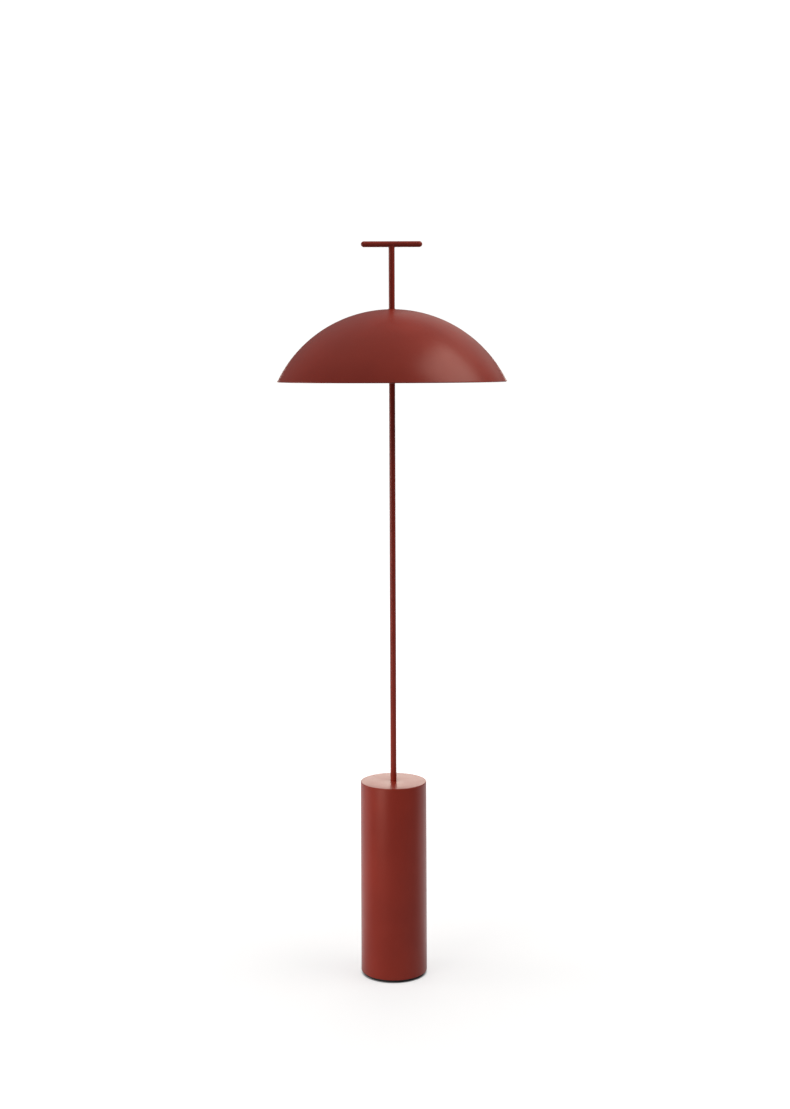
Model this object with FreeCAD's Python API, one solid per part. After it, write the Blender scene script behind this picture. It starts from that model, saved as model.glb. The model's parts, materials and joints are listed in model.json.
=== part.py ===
"""Mushroom floor lamp: a spun dome shade with a T-shaped carrying handle, on a slim stem in a round base.

Millimetres, +Z up. The origin is on the floor, at the centre of the base. The handle's bar lies along X,
the front of the lamp is -Y and the supply cable's inlet is at the back, +Y.
"""
import FreeCAD, Part
import math
import os

from FreeCAD import Vector

# ---- the lamp's driving sizes -----------------------------------------------------------------------------
LAMP_HEIGHT = 1270.0            # floor to the top of the handle's bar
HANDLE_RISE = 118.5             # the shade's crown to the top of the handle's bar
SHADE_DIAMETER = 400.0
SHADE_DEPTH = 126.5             # rim to the small flat land at the shade's crown
BASE_DIAMETER = 114.0
BASE_HEIGHT = 331.0             # floor to the top of the base
STEM_DIAMETER = 10.5
STEM_WALL = 1.25
HANDLE_LENGTH = 107.0
HANDLE_DIAMETER = 10.5

# ---- clearances -------------------------------------------------------------------------------------------
SEAT_GAP = 0.05                 # radial gap where one turned piece sits in another
LOOSE_GAP = 0.2                 # radial gap round a piece that is dropped into place
THREAD_GAP = 0.05               # radial gap between a screw and its tapped hole
SLIDE_GAP = 0.05                # radial running gap of the push button

# ---- base -------------------------------------------------------------------------------------------------
SHELL_WALL = 2.0
SHELL_TOP = 3.0                 # thickness of the shell's flat top
SHELL_EDGE_RADIUS = 1.2
FOOT_HEIGHT = 5.0
FOOT_INSET = 4.0                # how far the foot lies inside the shell's wall
FOOT_WIDTH = 9.0
PLATE_THICKNESS = 3.0
BALLAST_HEIGHT = 75.0
BALLAST_BORE = 30.0
RING_THICKNESS = 3.0            # the ring welded inside the shell, which the ballast is pulled up against
RING_WIDTH = 13.0
BASE_SCREW_COUNT = 3
BASE_SCREW_INSET = 21.0         # from the shell's outside to the long screws
BASE_SCREW_DIAMETER = 6.0
BASE_SCREW_HOLE = 6.6
BASE_SCREW_HEAD = 10.5
BASE_SCREW_HEAD_HEIGHT = 3.3

# ---- cable inlet ------------------------------------------------------------------------------------------
INLET_HEIGHT = 18.0             # floor to the inlet's axis
INLET_BORE = 7.2                # for a supply cable of 7 mm
GROMMET_NECK = 12.0
GROMMET_FLANGE = 16.0
GROMMET_LIP = 1.8               # how far each flange stands off the shell's wall
CHANNEL_WIDTH = 18.0            # the cable's channel under the ballast

# ---- stem socket ------------------------------------------------------------------------------------------
SOCKET_WALL = 7.75
SOCKET_FLANGE_WIDTH = 12.0
SOCKET_FLANGE_THICKNESS = 3.0
SOCKET_DEPTH = 22.0             # how deep the stem stands in its socket
SOCKET_FLOOR = 8.0
NIPPLE_WALL = 1.45              # the nipple is threaded and screws into the bottom of the stem
NIPPLE_ENGAGEMENT = 15.0
NIPPLE_TAIL = 14.0              # how far it comes out below the socket
LOCK_WASHER_WIDTH = 3.5
LOCK_WASHER_THICKNESS = 1.5
STEM_NUT_EXTRA = 5.0            # across its flats, over the nipple's diameter
STEM_NUT_HEIGHT = 6.5

# ---- LED driver in the base -------------------------------------------------------------------------------
BRACKET_END_GAP = 6.0           # from the bracket's ends to the shell
BRACKET_DEPTH = 62.0
BRACKET_THICKNESS = 2.0
BRACKET_UPRIGHT_WIDTH = 46.0
BRACKET_UPRIGHT_MARGIN = 7.0    # above the driver's upper ear
BRACKET_SCREW_INSET = 11.0      # from the shell's outside to the bracket's screws
BRACKET_HOLE = 13.0             # the supply cable's way up, behind the upright
BRACKET_SCREW_DIAMETER = 4.0
BRACKET_SCREW_HEAD = 7.5
BRACKET_SCREW_HEAD_HEIGHT = 2.4
DRIVER_HEIGHT = 92.0
DRIVER_WIDTH = 44.0
DRIVER_DEPTH = 27.0
DRIVER_RISE = 10.0              # from the bracket's foot to the driver's box
DRIVER_EDGE_RADIUS = 2.0
EAR_HEIGHT = 7.0                # the driver's fixing ears
EAR_WIDTH = 14.0
EAR_THICKNESS = 3.0
DRIVER_SCREW_DIAMETER = 3.0
DRIVER_SCREW_HEAD = 5.6
DRIVER_SCREW_HEAD_HEIGHT = 2.0
UPRIGHT_Y = -5.0                # front face of the bracket's upright
TERMINAL_LENGTH = 34.0
TERMINAL_DEPTH = 16.0
TERMINAL_HEIGHT = 13.0
TERMINAL_GAP = 1.0              # from the bracket's cable hole to the block
TERMINAL_POLES = 3
TERMINAL_SCREW_DIAMETER = 3.0
TERMINAL_WELL_DEPTH = 6.5
TERMINAL_SCREW_SUNK = 1.0

# ---- light head -------------------------------------------------------------------------------------------
HEAD_DROP = 60.5                # from the shade's crown to the underside of the heat sink's plate
SINK_DIAMETER = 180.0
SINK_THICKNESS = 4.0
SINK_SKIRT_WALL = 2.0
SINK_SKIRT_DEPTH = 16.0
FIN_COUNT = 24
FIN_THICKNESS = 1.8
FIN_HEIGHT = 12.0
FIN_START_RADIUS = 30.0
FIN_END_MARGIN = 4.0            # from the fins' ends to the edge of the plate
SINK_BOSS_DIAMETER = 30.0
SINK_BOSS_HEIGHT = 8.0
POST_DIAMETER = 7.0             # the two posts that carry the hub cover
POST_GAP = 2.0                  # from the coupler's flange to the posts
COUPLER_WALL = 2.75
COUPLER_DROP = 30.0             # how far the coupler reaches below the heat sink's plate
COUPLER_SOCKET_DEPTH = 20.0
COUPLER_CHAMBER = 8.4           # bore that the lead rises in, above the stem
COUPLER_FLANGE_WIDTH = 9.5
COUPLER_FLANGE_THICKNESS = 4.0
COUPLER_CROWN = 20.0            # solid metal above the chamber, tapped for the handle's stud
WINDOW_WIDTH = 8.0
WINDOW_HEIGHT = 16.0
WINDOW_CROWN_GAP = 3.0          # from the window's top to the chamber's
GRUB_DIAMETER = 4.0
GRUB_HEIGHT = 8.0               # from the coupler's lower end to the grub screws
SINK_SCREW_INSET = 5.0          # from the coupler flange's edge
SINK_SCREW_COUNT = 3
SMALL_SCREW_DIAMETER = 3.0      # the M3 screws of the light head
SMALL_SCREW_HOLE = 3.4
SMALL_SCREW_HEAD = 5.5
SMALL_SCREW_HEAD_HEIGHT = 2.0
SMALL_SCREW_BITE = 3.0          # how far they reach into the heat sink's plate
BOARD_HOLE_MARGIN = 4.0         # from the diffuser's collar to the board's hole
BOARD_EDGE_GAP = 3.0            # between the board and the skirt
BOARD_THICKNESS = 1.6
BOARD_SCREW_COUNT = 4
CHIP_SIZE = 3.0
CHIP_HEIGHT = 1.0
INNER_CHIP_COUNT = 16
INNER_CHIP_INSET = 14.0         # from the board's hole to the inner ring of LEDs
OUTER_CHIP_COUNT = 24
OUTER_CHIP_INSET = 9.0          # from the board's edge to the outer ring of LEDs
CONNECTOR_INSET = 10.0          # from the board's hole to the lead's connector, at the back
CONNECTOR_LENGTH = 7.0
CONNECTOR_WIDTH = 7.0
CONNECTOR_HEIGHT = 5.0
CONNECTOR_HOLE_GAP = 0.8
DIFFUSER_WALL = 2.0
DIFFUSER_DROP = 18.0            # from the heat sink's plate to the diffuser's lower face
DIFFUSER_RIM_HEIGHT = 10.0
DIFFUSER_CORNER_RADIUS = 5.0
DIFFUSER_EDGE_GAP = 0.4
DIFFUSER_POST_GAP = 1.5         # from the posts to the diffuser's collar
HUB_LAP = 4.0                   # how far the hub cover reaches past the diffuser's hole
HUB_HEIGHT = 7.0
HUB_WALL = 1.5
HUB_EDGE_RADIUS = 2.0

# ---- push-button dimmer -----------------------------------------------------------------------------------
SWITCH_GAP = 5.5                # from the coupler to the switch, towards the front
SWITCH_DIAMETER = 12.0
SWITCH_HEIGHT = 14.0
BUSHING_DIAMETER = 9.0
BUSHING_LENGTH = 5.5
SWITCH_FLOOR = 2.0
SWITCH_CAP_THICKNESS = 2.0
SWITCH_CHAMBER = 9.6
RING_NUT_WIDTH = 12.0           # across its flats
RING_NUT_HEIGHT = 2.0
BUTTON_DIAMETER = 6.5
BUTTON_STANDS_OUT = 3.0
BUTTON_FLANGE = 9.0
BUTTON_FLANGE_THICKNESS = 1.5
BUTTON_EDGE_RADIUS = 0.8
BUTTON_TRAVEL = 1.5
BUTTON_REST_GAP = 0.05          # between the button's flange and its stop
SPRING_WIRE = 0.6
SPRING_DIAMETER = 7.0           # outside
SPRING_TURNS = 4
SPRING_WIRE_SIDES = 8           # the wire's section is an octagon, which keeps its faces few
SPRING_END_GAP = 0.05
TERMINAL_BLADE_WIDTH = 2.8
TERMINAL_BLADE_THICKNESS = 0.8
TERMINAL_BLADE_HEIGHT = 3.0
TERMINAL_BLADE_SPACING = 5.0

# ---- shade ------------------------------------------------------------------------------------------------
SHADE_WALL = 1.2
SHADE_BEAD_RADIUS = 1.3         # the rolled bead at the rim
SHADE_LAND_DIAMETER = 16.0      # flat land round the crown's hole
SADDLE_DIAMETER = 50.0
SADDLE_THICKNESS = 3.0

# ---- handle -----------------------------------------------------------------------------------------------
STUD_DIAMETER = 6.0
STUD_IN_COUPLER = 14.0
STUD_IN_ROD = 20.0
STUD_END_ROOM = 2.0             # drill room past each end of the stud
CROWN_WASHER_LIP = 1.25         # how far it shows round the rod
CROWN_WASHER_THICKNESS = 0.8
TENON_SHOULDER = 2.25           # from the rod's outside in to the tenon
TENON_PAST_CENTRE = 1.0         # how far the rod's tenon passes the bar's centre line

# ---- lead from the driver to the LED board ----------------------------------------------------------------
LEAD_DIAMETER = 3.2
LEAD_STRAIGHT = 20.0            # straight out of the driver's top
LEAD_CENTRED_RISE = 52.0        # above the driver, where it reaches the lamp's axis
LEAD_ARC_SHARE = 0.45           # of the shorter run that an arc takes up
LEAD_WINDOW_DROP = 4.0          # from the window's top to where the lead turns out of it
LEAD_SHOULDER_SHARE = 0.64      # of the way out to the connector, where it turns down
LEAD_SHOULDER_RISE = 1.0
LEAD_PLUG_RISE = 3.0            # above the fins, where it points straight down

# ---- levels that follow from the sizes --------------------------------------------------------------------
BASE_RADIUS = BASE_DIAMETER / 2
SHELL_BORE_RADIUS = BASE_RADIUS - SHELL_WALL
STEM_RADIUS = STEM_DIAMETER / 2
STEM_BORE_RADIUS = STEM_RADIUS - STEM_WALL
HANDLE_RADIUS = HANDLE_DIAMETER / 2
HANDLE_AXIS_Z = LAMP_HEIGHT - HANDLE_RADIUS

BASE_SCREW_CIRCLE = BASE_DIAMETER - 2 * BASE_SCREW_INSET
BRACKET_LENGTH = 2 * (SHELL_BORE_RADIUS - BRACKET_END_GAP)
BRACKET_SCREW_SPACING = BASE_DIAMETER - 2 * BRACKET_SCREW_INSET
SOCKET_DIAMETER = STEM_DIAMETER + 2 * SOCKET_WALL
SOCKET_FLANGE = SOCKET_DIAMETER + 2 * SOCKET_FLANGE_WIDTH
NIPPLE_DIAMETER = 2 * STEM_BORE_RADIUS
NIPPLE_BORE = NIPPLE_DIAMETER - 2 * THREAD_GAP - 2 * NIPPLE_WALL
STEM_NUT_WIDTH = NIPPLE_DIAMETER + STEM_NUT_EXTRA
LOCK_WASHER_DIAMETER = NIPPLE_DIAMETER + 2 * LOCK_WASHER_WIDTH

COUPLER_DIAMETER = STEM_DIAMETER + 2 * COUPLER_WALL
COUPLER_FLANGE = COUPLER_DIAMETER + 2 * COUPLER_FLANGE_WIDTH
SINK_SCREW_CIRCLE = COUPLER_FLANGE - 2 * SINK_SCREW_INSET
POST_SPACING = COUPLER_FLANGE + POST_DIAMETER + 2 * POST_GAP
DIFFUSER_HOLE = POST_SPACING + POST_DIAMETER + 2 * DIFFUSER_POST_GAP
HUB_DIAMETER = DIFFUSER_HOLE + 2 * HUB_LAP
BOARD_HOLE = DIFFUSER_HOLE + 2 * DIFFUSER_WALL + 2 * BOARD_HOLE_MARGIN
BOARD_DIAMETER = SINK_DIAMETER - 2 * SINK_SKIRT_WALL - 2 * BOARD_EDGE_GAP
INNER_CHIP_CIRCLE = BOARD_HOLE + 2 * INNER_CHIP_INSET
OUTER_CHIP_CIRCLE = BOARD_DIAMETER - 2 * OUTER_CHIP_INSET
BOARD_SCREW_CIRCLE = (INNER_CHIP_CIRCLE + OUTER_CHIP_CIRCLE) / 2
CONNECTOR_RADIUS = BOARD_HOLE / 2 + CONNECTOR_INSET
SWITCH_OFFSET = COUPLER_DIAMETER / 2 + SWITCH_GAP + SWITCH_DIAMETER / 2
SHADE_HOLE = STUD_DIAMETER + 2 * LOOSE_GAP
CROWN_WASHER_DIAMETER = STEM_DIAMETER + 2 * CROWN_WASHER_LIP
TENON_DIAMETER = STEM_DIAMETER - 2 * TENON_SHOULDER

PLATE_TOP_Z = FOOT_HEIGHT + PLATE_THICKNESS
BALLAST_TOP_Z = PLATE_TOP_Z + BALLAST_HEIGHT
RING_TOP_Z = BALLAST_TOP_Z + RING_THICKNESS
SHELL_CEILING_Z = BASE_HEIGHT - SHELL_TOP
STEM_BOTTOM_Z = SHELL_CEILING_Z - SOCKET_DEPTH
SOCKET_BOTTOM_Z = STEM_BOTTOM_Z - SOCKET_FLOOR
LOCK_WASHER_Z = SOCKET_BOTTOM_Z - LOCK_WASHER_THICKNESS

CROWN_Z = LAMP_HEIGHT - HANDLE_RISE
RIM_HEIGHT = CROWN_Z - SHADE_DEPTH
SINK_Z = CROWN_Z - HEAD_DROP
COUPLER_BOTTOM_Z = SINK_Z - COUPLER_DROP
STEM_TOP_Z = COUPLER_BOTTOM_Z + COUPLER_SOCKET_DEPTH
SINK_TOP_Z = SINK_Z + SINK_THICKNESS
BOARD_Z = SINK_Z - BOARD_THICKNESS
DIFFUSER_Z = SINK_Z - DIFFUSER_DROP
HUB_Z = DIFFUSER_Z - HUB_HEIGHT
HUB_FLOOR_Z = HUB_Z + HUB_WALL

SHADE_RADIUS = SHADE_DIAMETER / 2
CROWN_INSIDE_Z = CROWN_Z - SHADE_WALL
COUPLER_TOP_Z = CROWN_INSIDE_Z - SADDLE_THICKNESS
CHAMBER_TOP_Z = COUPLER_TOP_Z - COUPLER_CROWN
WINDOW_TOP_Z = CHAMBER_TOP_Z - WINDOW_CROWN_GAP
HANDLE_FOOT_Z = CROWN_Z + CROWN_WASHER_THICKNESS

# the dome is a cap of a sphere through the rim and the edge of the crown's land
DOME_CENTRE_DROP = (SHADE_RADIUS**2 - SHADE_DEPTH**2 - (SHADE_LAND_DIAMETER / 2) ** 2) / (2 * SHADE_DEPTH)
DOME_RADIUS = math.hypot(SHADE_RADIUS, DOME_CENTRE_DROP)
DOME_CENTRE_Z = RIM_HEIGHT - DOME_CENTRE_DROP

SWITCH_BOTTOM_Z = HUB_FLOOR_Z
SWITCH_STOP_Z = SWITCH_BOTTOM_Z + SWITCH_FLOOR
SWITCH_TOP_Z = SWITCH_BOTTOM_Z + SWITCH_HEIGHT
BUSHING_END_Z = SWITCH_BOTTOM_Z - BUSHING_LENGTH


# ---- shapes that several pieces use -----------------------------------------------------------------------
def rod(diameter, bottom, top, x=0.0, y=0.0):
    """A solid round bar standing between two heights."""
    return Part.makeCylinder(diameter / 2, top - bottom, Vector(x, y, bottom))


def tube(outer, inner, bottom, top, x=0.0, y=0.0):
    """A round tube standing between two heights."""
    return rod(outer, bottom, top, x, y).cut(rod(inner, bottom, top, x, y))


def block(length, depth, bottom, top, x=0.0, y=0.0):
    """A box centred on x and y between two heights."""
    return Part.makeBox(length, depth, top - bottom, Vector(x - length / 2, y - depth / 2, bottom))


def bar_along_y(diameter, start, end, z):
    """A round bar along Y at a height, on the lamp's middle plane."""
    return Part.makeCylinder(diameter / 2, end - start, Vector(0, start, z), Vector(0, 1, 0))


def hexagon(width, bottom, top, x=0.0, y=0.0):
    """A hexagonal prism of a width across its flats."""
    radius = width / math.sqrt(3)
    corners = [Vector(x + radius * math.cos(a), y + radius * math.sin(a), bottom)
               for a in (math.radians(60 * i) for i in range(7))]
    return Part.Face(Part.makePolygon(corners)).extrude(Vector(0, 0, top - bottom))


def turned(edges):
    """The solid that a closed outline of edges in the XZ plane sweeps round the lamp's axis."""
    face = Part.Face(Part.Wire(edges))
    return face.revolve(Vector(0, 0, 0), Vector(0, 0, 1), 360)


def line(a, b):
    """A straight edge between two (radius, height) points."""
    return Part.LineSegment(Vector(a[0], 0, a[1]), Vector(b[0], 0, b[1])).toShape()


def arc(a, middle, b):
    """A round edge through three (radius, height) points."""
    return Part.Arc(*(Vector(p[0], 0, p[1]) for p in (a, middle, b))).toShape()


def round_places(diameter, count, first_degrees=0.0):
    """Evenly spaced (x, y) places on a circle."""
    angles = [math.radians(first_degrees + 360.0 * i / count) for i in range(count)]
    return [(diameter / 2 * math.cos(a), diameter / 2 * math.sin(a)) for a in angles]


def cut_all(solid, tools):
    """A solid with several others taken away."""
    return solid.cut(Part.makeCompound(list(tools)))


def screw_up(shank, head, head_height, seat, length, x, y):
    """A screw driven upwards: its head hangs under the seat and its shank rises above it."""
    return rod(head, seat - head_height, seat, x, y).fuse(rod(shank, seat, seat + length, x, y))


def screw_down(shank, head, head_height, seat, length, x, y):
    """A screw driven downwards: its head stands on the seat and its shank reaches below it."""
    return rod(head, seat, seat + head_height, x, y).fuse(rod(shank, seat - length, seat, x, y))


# ---- base -------------------------------------------------------------------------------------------------
def base_shell():
    """Steel can with a flat top, a hole for the stem and a hole at the back for the grommet."""
    can = rod(BASE_DIAMETER, FOOT_HEIGHT, BASE_HEIGHT)
    top_edge = [e for e in can.Edges if abs(e.CenterOfMass.z - BASE_HEIGHT) < 1e-6]
    can = can.makeFillet(SHELL_EDGE_RADIUS, top_edge)
    can = can.cut(rod(2 * SHELL_BORE_RADIUS, FOOT_HEIGHT, SHELL_CEILING_Z))
    can = can.cut(rod(STEM_DIAMETER + 2 * SEAT_GAP, SHELL_CEILING_Z, BASE_HEIGHT))
    return can.cut(bar_along_y(GROMMET_NECK + 2 * SEAT_GAP, 0, BASE_RADIUS + GROMMET_LIP, INLET_HEIGHT))


def base_foot_ring():
    """Rubber ring that the lamp stands on, set in under the shell to leave a shadow line."""
    outer = BASE_DIAMETER - 2 * FOOT_INSET
    return tube(outer, outer - 2 * FOOT_WIDTH, 0, FOOT_HEIGHT)


def base_screw_places():
    return round_places(BASE_SCREW_CIRCLE, BASE_SCREW_COUNT, -90)


def bottom_plate():
    """Steel disc that closes the base and carries the ballast."""
    disc = rod(2 * (SHELL_BORE_RADIUS - LOOSE_GAP), FOOT_HEIGHT, PLATE_TOP_Z)
    holes = [rod(BASE_SCREW_HOLE, FOOT_HEIGHT, PLATE_TOP_Z, x, y) for x, y in base_screw_places()]
    return cut_all(disc, holes)


def ballast_weight():
    """Cast-iron drum with a middle bore, holes for the long screws and a channel for the supply cable."""
    drum = rod(2 * (SHELL_BORE_RADIUS - 2 * LOOSE_GAP), PLATE_TOP_Z, BALLAST_TOP_Z)
    holes = [rod(BASE_SCREW_HOLE, PLATE_TOP_Z, BALLAST_TOP_Z, x, y) for x, y in base_screw_places()]
    channel = block(CHANNEL_WIDTH, BASE_RADIUS, PLATE_TOP_Z, INLET_HEIGHT + CHANNEL_WIDTH / 2,
                    0, BASE_RADIUS / 2)
    return cut_all(drum, [rod(BALLAST_BORE, PLATE_TOP_Z, BALLAST_TOP_Z), channel, *holes])


def mounting_ring():
    """Ring welded inside the shell, with tapped holes for the long screws and the bracket."""
    ring = tube(2 * SHELL_BORE_RADIUS - 2 * SEAT_GAP, 2 * (SHELL_BORE_RADIUS - RING_WIDTH),
                BALLAST_TOP_Z, RING_TOP_Z)
    lugs = [rod(BASE_SCREW_HEAD + RING_WIDTH, BALLAST_TOP_Z, RING_TOP_Z, x, y)
            for x, y in base_screw_places()]
    inside = rod(2 * SHELL_BORE_RADIUS - 2 * SEAT_GAP, BALLAST_TOP_Z, RING_TOP_Z)
    ring = ring.fuse([lug.common(inside) for lug in lugs])
    tapped = [rod(BASE_SCREW_DIAMETER + 2 * THREAD_GAP, BALLAST_TOP_Z, RING_TOP_Z, x, y)
              for x, y in base_screw_places()]
    tapped += [rod(BRACKET_SCREW_DIAMETER + 2 * THREAD_GAP, BALLAST_TOP_Z, RING_TOP_Z, x, y)
               for x, y in bracket_screw_places()]
    return cut_all(ring, tapped)


def base_screws():
    """Long screws from below the plate, through the ballast, into the ring."""
    length = RING_TOP_Z - FOOT_HEIGHT
    return [screw_up(BASE_SCREW_DIAMETER, BASE_SCREW_HEAD, BASE_SCREW_HEAD_HEIGHT, FOOT_HEIGHT, length, x, y)
            for x, y in base_screw_places()]


def cable_grommet():
    """Rubber grommet in the back of the shell, whose flanges follow the round wall inside and out."""
    outer_end = BASE_RADIUS + GROMMET_LIP
    inner_end = SHELL_BORE_RADIUS - GROMMET_LIP
    outside = bar_along_y(GROMMET_FLANGE, SHELL_BORE_RADIUS, outer_end, INLET_HEIGHT)
    outside = outside.cut(rod(BASE_DIAMETER, 0, 2 * INLET_HEIGHT))
    inside = bar_along_y(GROMMET_FLANGE, inner_end, BASE_RADIUS, INLET_HEIGHT)
    inside = inside.common(rod(2 * SHELL_BORE_RADIUS, 0, 2 * INLET_HEIGHT))
    neck = bar_along_y(GROMMET_NECK, inner_end, outer_end, INLET_HEIGHT)
    return neck.fuse([outside, inside]).cut(bar_along_y(INLET_BORE, inner_end, outer_end, INLET_HEIGHT))


# ---- stem and its socket ----------------------------------------------------------------------------------
def stem_socket():
    """Turned socket welded under the shell's top: the stem stands on its step."""
    flange = rod(SOCKET_FLANGE, SHELL_CEILING_Z - SOCKET_FLANGE_THICKNESS, SHELL_CEILING_Z)
    body = flange.fuse(rod(SOCKET_DIAMETER, SOCKET_BOTTOM_Z, SHELL_CEILING_Z))
    return cut_all(body, [rod(STEM_DIAMETER + 2 * SEAT_GAP, STEM_BOTTOM_Z, SHELL_CEILING_Z),
                          rod(NIPPLE_DIAMETER + 2 * LOOSE_GAP, SOCKET_BOTTOM_Z, STEM_BOTTOM_Z)])


def stem_tube():
    """Slim steel tube from the base's socket to the light head's coupler."""
    return tube(STEM_DIAMETER, 2 * STEM_BORE_RADIUS, STEM_BOTTOM_Z, STEM_TOP_Z)


def stem_nipple():
    """Hollow threaded nipple in the stem's lower end."""
    return tube(NIPPLE_DIAMETER - 2 * THREAD_GAP, NIPPLE_BORE,
                SOCKET_BOTTOM_Z - NIPPLE_TAIL, STEM_BOTTOM_Z + NIPPLE_ENGAGEMENT)


def stem_lock_washer():
    return tube(LOCK_WASHER_DIAMETER, NIPPLE_DIAMETER + 2 * LOOSE_GAP, LOCK_WASHER_Z, SOCKET_BOTTOM_Z)


def stem_nut():
    """Nut that pulls the stem down on its step."""
    nut = hexagon(STEM_NUT_WIDTH, LOCK_WASHER_Z - STEM_NUT_HEIGHT, LOCK_WASHER_Z)
    return nut.cut(rod(NIPPLE_DIAMETER, LOCK_WASHER_Z - STEM_NUT_HEIGHT, LOCK_WASHER_Z))


# ---- LED driver -------------------------------------------------------------------------------------------
DRIVER_Z = RING_TOP_Z + BRACKET_THICKNESS + DRIVER_RISE
DRIVER_TOP_Z = DRIVER_Z + DRIVER_HEIGHT
DRIVER_Y = UPRIGHT_Y - DRIVER_DEPTH / 2
EAR_Y = UPRIGHT_Y - EAR_THICKNESS / 2
UPRIGHT_BACK_Y = UPRIGHT_Y + BRACKET_THICKNESS
UPRIGHT_TOP_Z = DRIVER_TOP_Z + EAR_HEIGHT + BRACKET_UPRIGHT_MARGIN
BRACKET_HOLE_Y = UPRIGHT_BACK_Y + BRACKET_HOLE / 2 + TERMINAL_GAP


def bracket_screw_places():
    return [(-BRACKET_SCREW_SPACING / 2, 0), (BRACKET_SCREW_SPACING / 2, 0)]


def driver_screw_heights():
    return (DRIVER_Z - EAR_HEIGHT / 2, DRIVER_TOP_Z + EAR_HEIGHT / 2)


def driver_bracket():
    """Folded steel bracket across the ring, with an upright that carries the driver."""
    top = RING_TOP_Z + BRACKET_THICKNESS
    inside = rod(2 * (SHELL_BORE_RADIUS - LOOSE_GAP), RING_TOP_Z, top)
    foot = block(BRACKET_LENGTH, BRACKET_DEPTH, RING_TOP_Z, top).common(inside)
    upright = block(BRACKET_UPRIGHT_WIDTH, BRACKET_THICKNESS, RING_TOP_Z, UPRIGHT_TOP_Z,
                    0, UPRIGHT_Y + BRACKET_THICKNESS / 2)
    holes = [rod(BRACKET_SCREW_DIAMETER + 2 * LOOSE_GAP, RING_TOP_Z, top, x, y)
             for x, y in bracket_screw_places()]
    holes += [bar_along_y(DRIVER_SCREW_DIAMETER + 2 * THREAD_GAP, UPRIGHT_Y, UPRIGHT_BACK_Y, z)
              for z in driver_screw_heights()]
    holes.append(rod(BRACKET_HOLE, RING_TOP_Z, top, 0, BRACKET_HOLE_Y))
    return cut_all(foot.fuse(upright), holes)


def bracket_screws():
    seat = RING_TOP_Z + BRACKET_THICKNESS
    length = BRACKET_THICKNESS + RING_THICKNESS
    return [screw_down(BRACKET_SCREW_DIAMETER, BRACKET_SCREW_HEAD, BRACKET_SCREW_HEAD_HEIGHT,
                       seat, length, x, y) for x, y in bracket_screw_places()]


def led_driver():
    """Sealed plastic box of the LED driver, with a fixing ear at each end."""
    box = block(DRIVER_WIDTH, DRIVER_DEPTH, DRIVER_Z, DRIVER_TOP_Z, 0, DRIVER_Y)
    upright_edges = [e for e in box.Edges if abs(e.Length - DRIVER_HEIGHT) < 1e-6]
    box = box.makeFillet(DRIVER_EDGE_RADIUS, upright_edges)
    ears = block(EAR_WIDTH, EAR_THICKNESS, DRIVER_Z - EAR_HEIGHT, DRIVER_TOP_Z + EAR_HEIGHT, 0, EAR_Y)
    holes = [bar_along_y(DRIVER_SCREW_DIAMETER + 2 * LOOSE_GAP, UPRIGHT_Y - EAR_THICKNESS, UPRIGHT_Y, z)
             for z in driver_screw_heights()]
    return cut_all(box.fuse(ears), holes)


def driver_screws():
    """Screws through the driver's ears into the upright, driven from the front."""
    seat = UPRIGHT_Y - EAR_THICKNESS
    return [bar_along_y(DRIVER_SCREW_HEAD, seat - DRIVER_SCREW_HEAD_HEIGHT, seat, z).fuse(
            bar_along_y(DRIVER_SCREW_DIAMETER, seat, UPRIGHT_BACK_Y, z))
            for z in driver_screw_heights()]


def terminal_places():
    pitch = TERMINAL_LENGTH / TERMINAL_POLES
    return [(i - (TERMINAL_POLES - 1) / 2) * pitch for i in range(TERMINAL_POLES)]


TERMINAL_Y = BRACKET_HOLE_Y + BRACKET_HOLE / 2 + TERMINAL_GAP + TERMINAL_DEPTH / 2
TERMINAL_TOP_Z = RING_TOP_Z + BRACKET_THICKNESS + TERMINAL_HEIGHT


def terminal_block():
    """Plastic terminal block behind the cable's hole, with one clamp for each core of the supply cable."""
    body = block(TERMINAL_LENGTH, TERMINAL_DEPTH, RING_TOP_Z + BRACKET_THICKNESS, TERMINAL_TOP_Z,
                 0, TERMINAL_Y)
    well_bottom = TERMINAL_TOP_Z - TERMINAL_WELL_DEPTH
    wells = [rod(TERMINAL_SCREW_DIAMETER + 2 * LOOSE_GAP, well_bottom, TERMINAL_TOP_Z, x, TERMINAL_Y)
             for x in terminal_places()]
    return cut_all(body, wells)


def terminal_screws():
    bottom, top = TERMINAL_TOP_Z - TERMINAL_WELL_DEPTH, TERMINAL_TOP_Z - TERMINAL_SCREW_SUNK
    return [rod(TERMINAL_SCREW_DIAMETER, bottom, top, x, TERMINAL_Y) for x in terminal_places()]


# ---- light head -------------------------------------------------------------------------------------------
def sink_screw_places():
    return round_places(SINK_SCREW_CIRCLE, SINK_SCREW_COUNT, 90)


def board_screw_places():
    return round_places(BOARD_SCREW_CIRCLE, BOARD_SCREW_COUNT, 45)


def hub_screw_places():
    return [(-POST_SPACING / 2, 0), (POST_SPACING / 2, 0)]


def grub_bar(diameter, start, side):
    """A bar along X out to the coupler's surface, on the left (-1) or the right (1), at the grub screws."""
    return Part.makeCylinder(diameter / 2, COUPLER_DIAMETER / 2 - start,
                             Vector(side * start, 0, COUPLER_BOTTOM_Z + GRUB_HEIGHT), Vector(side, 0, 0))


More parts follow.
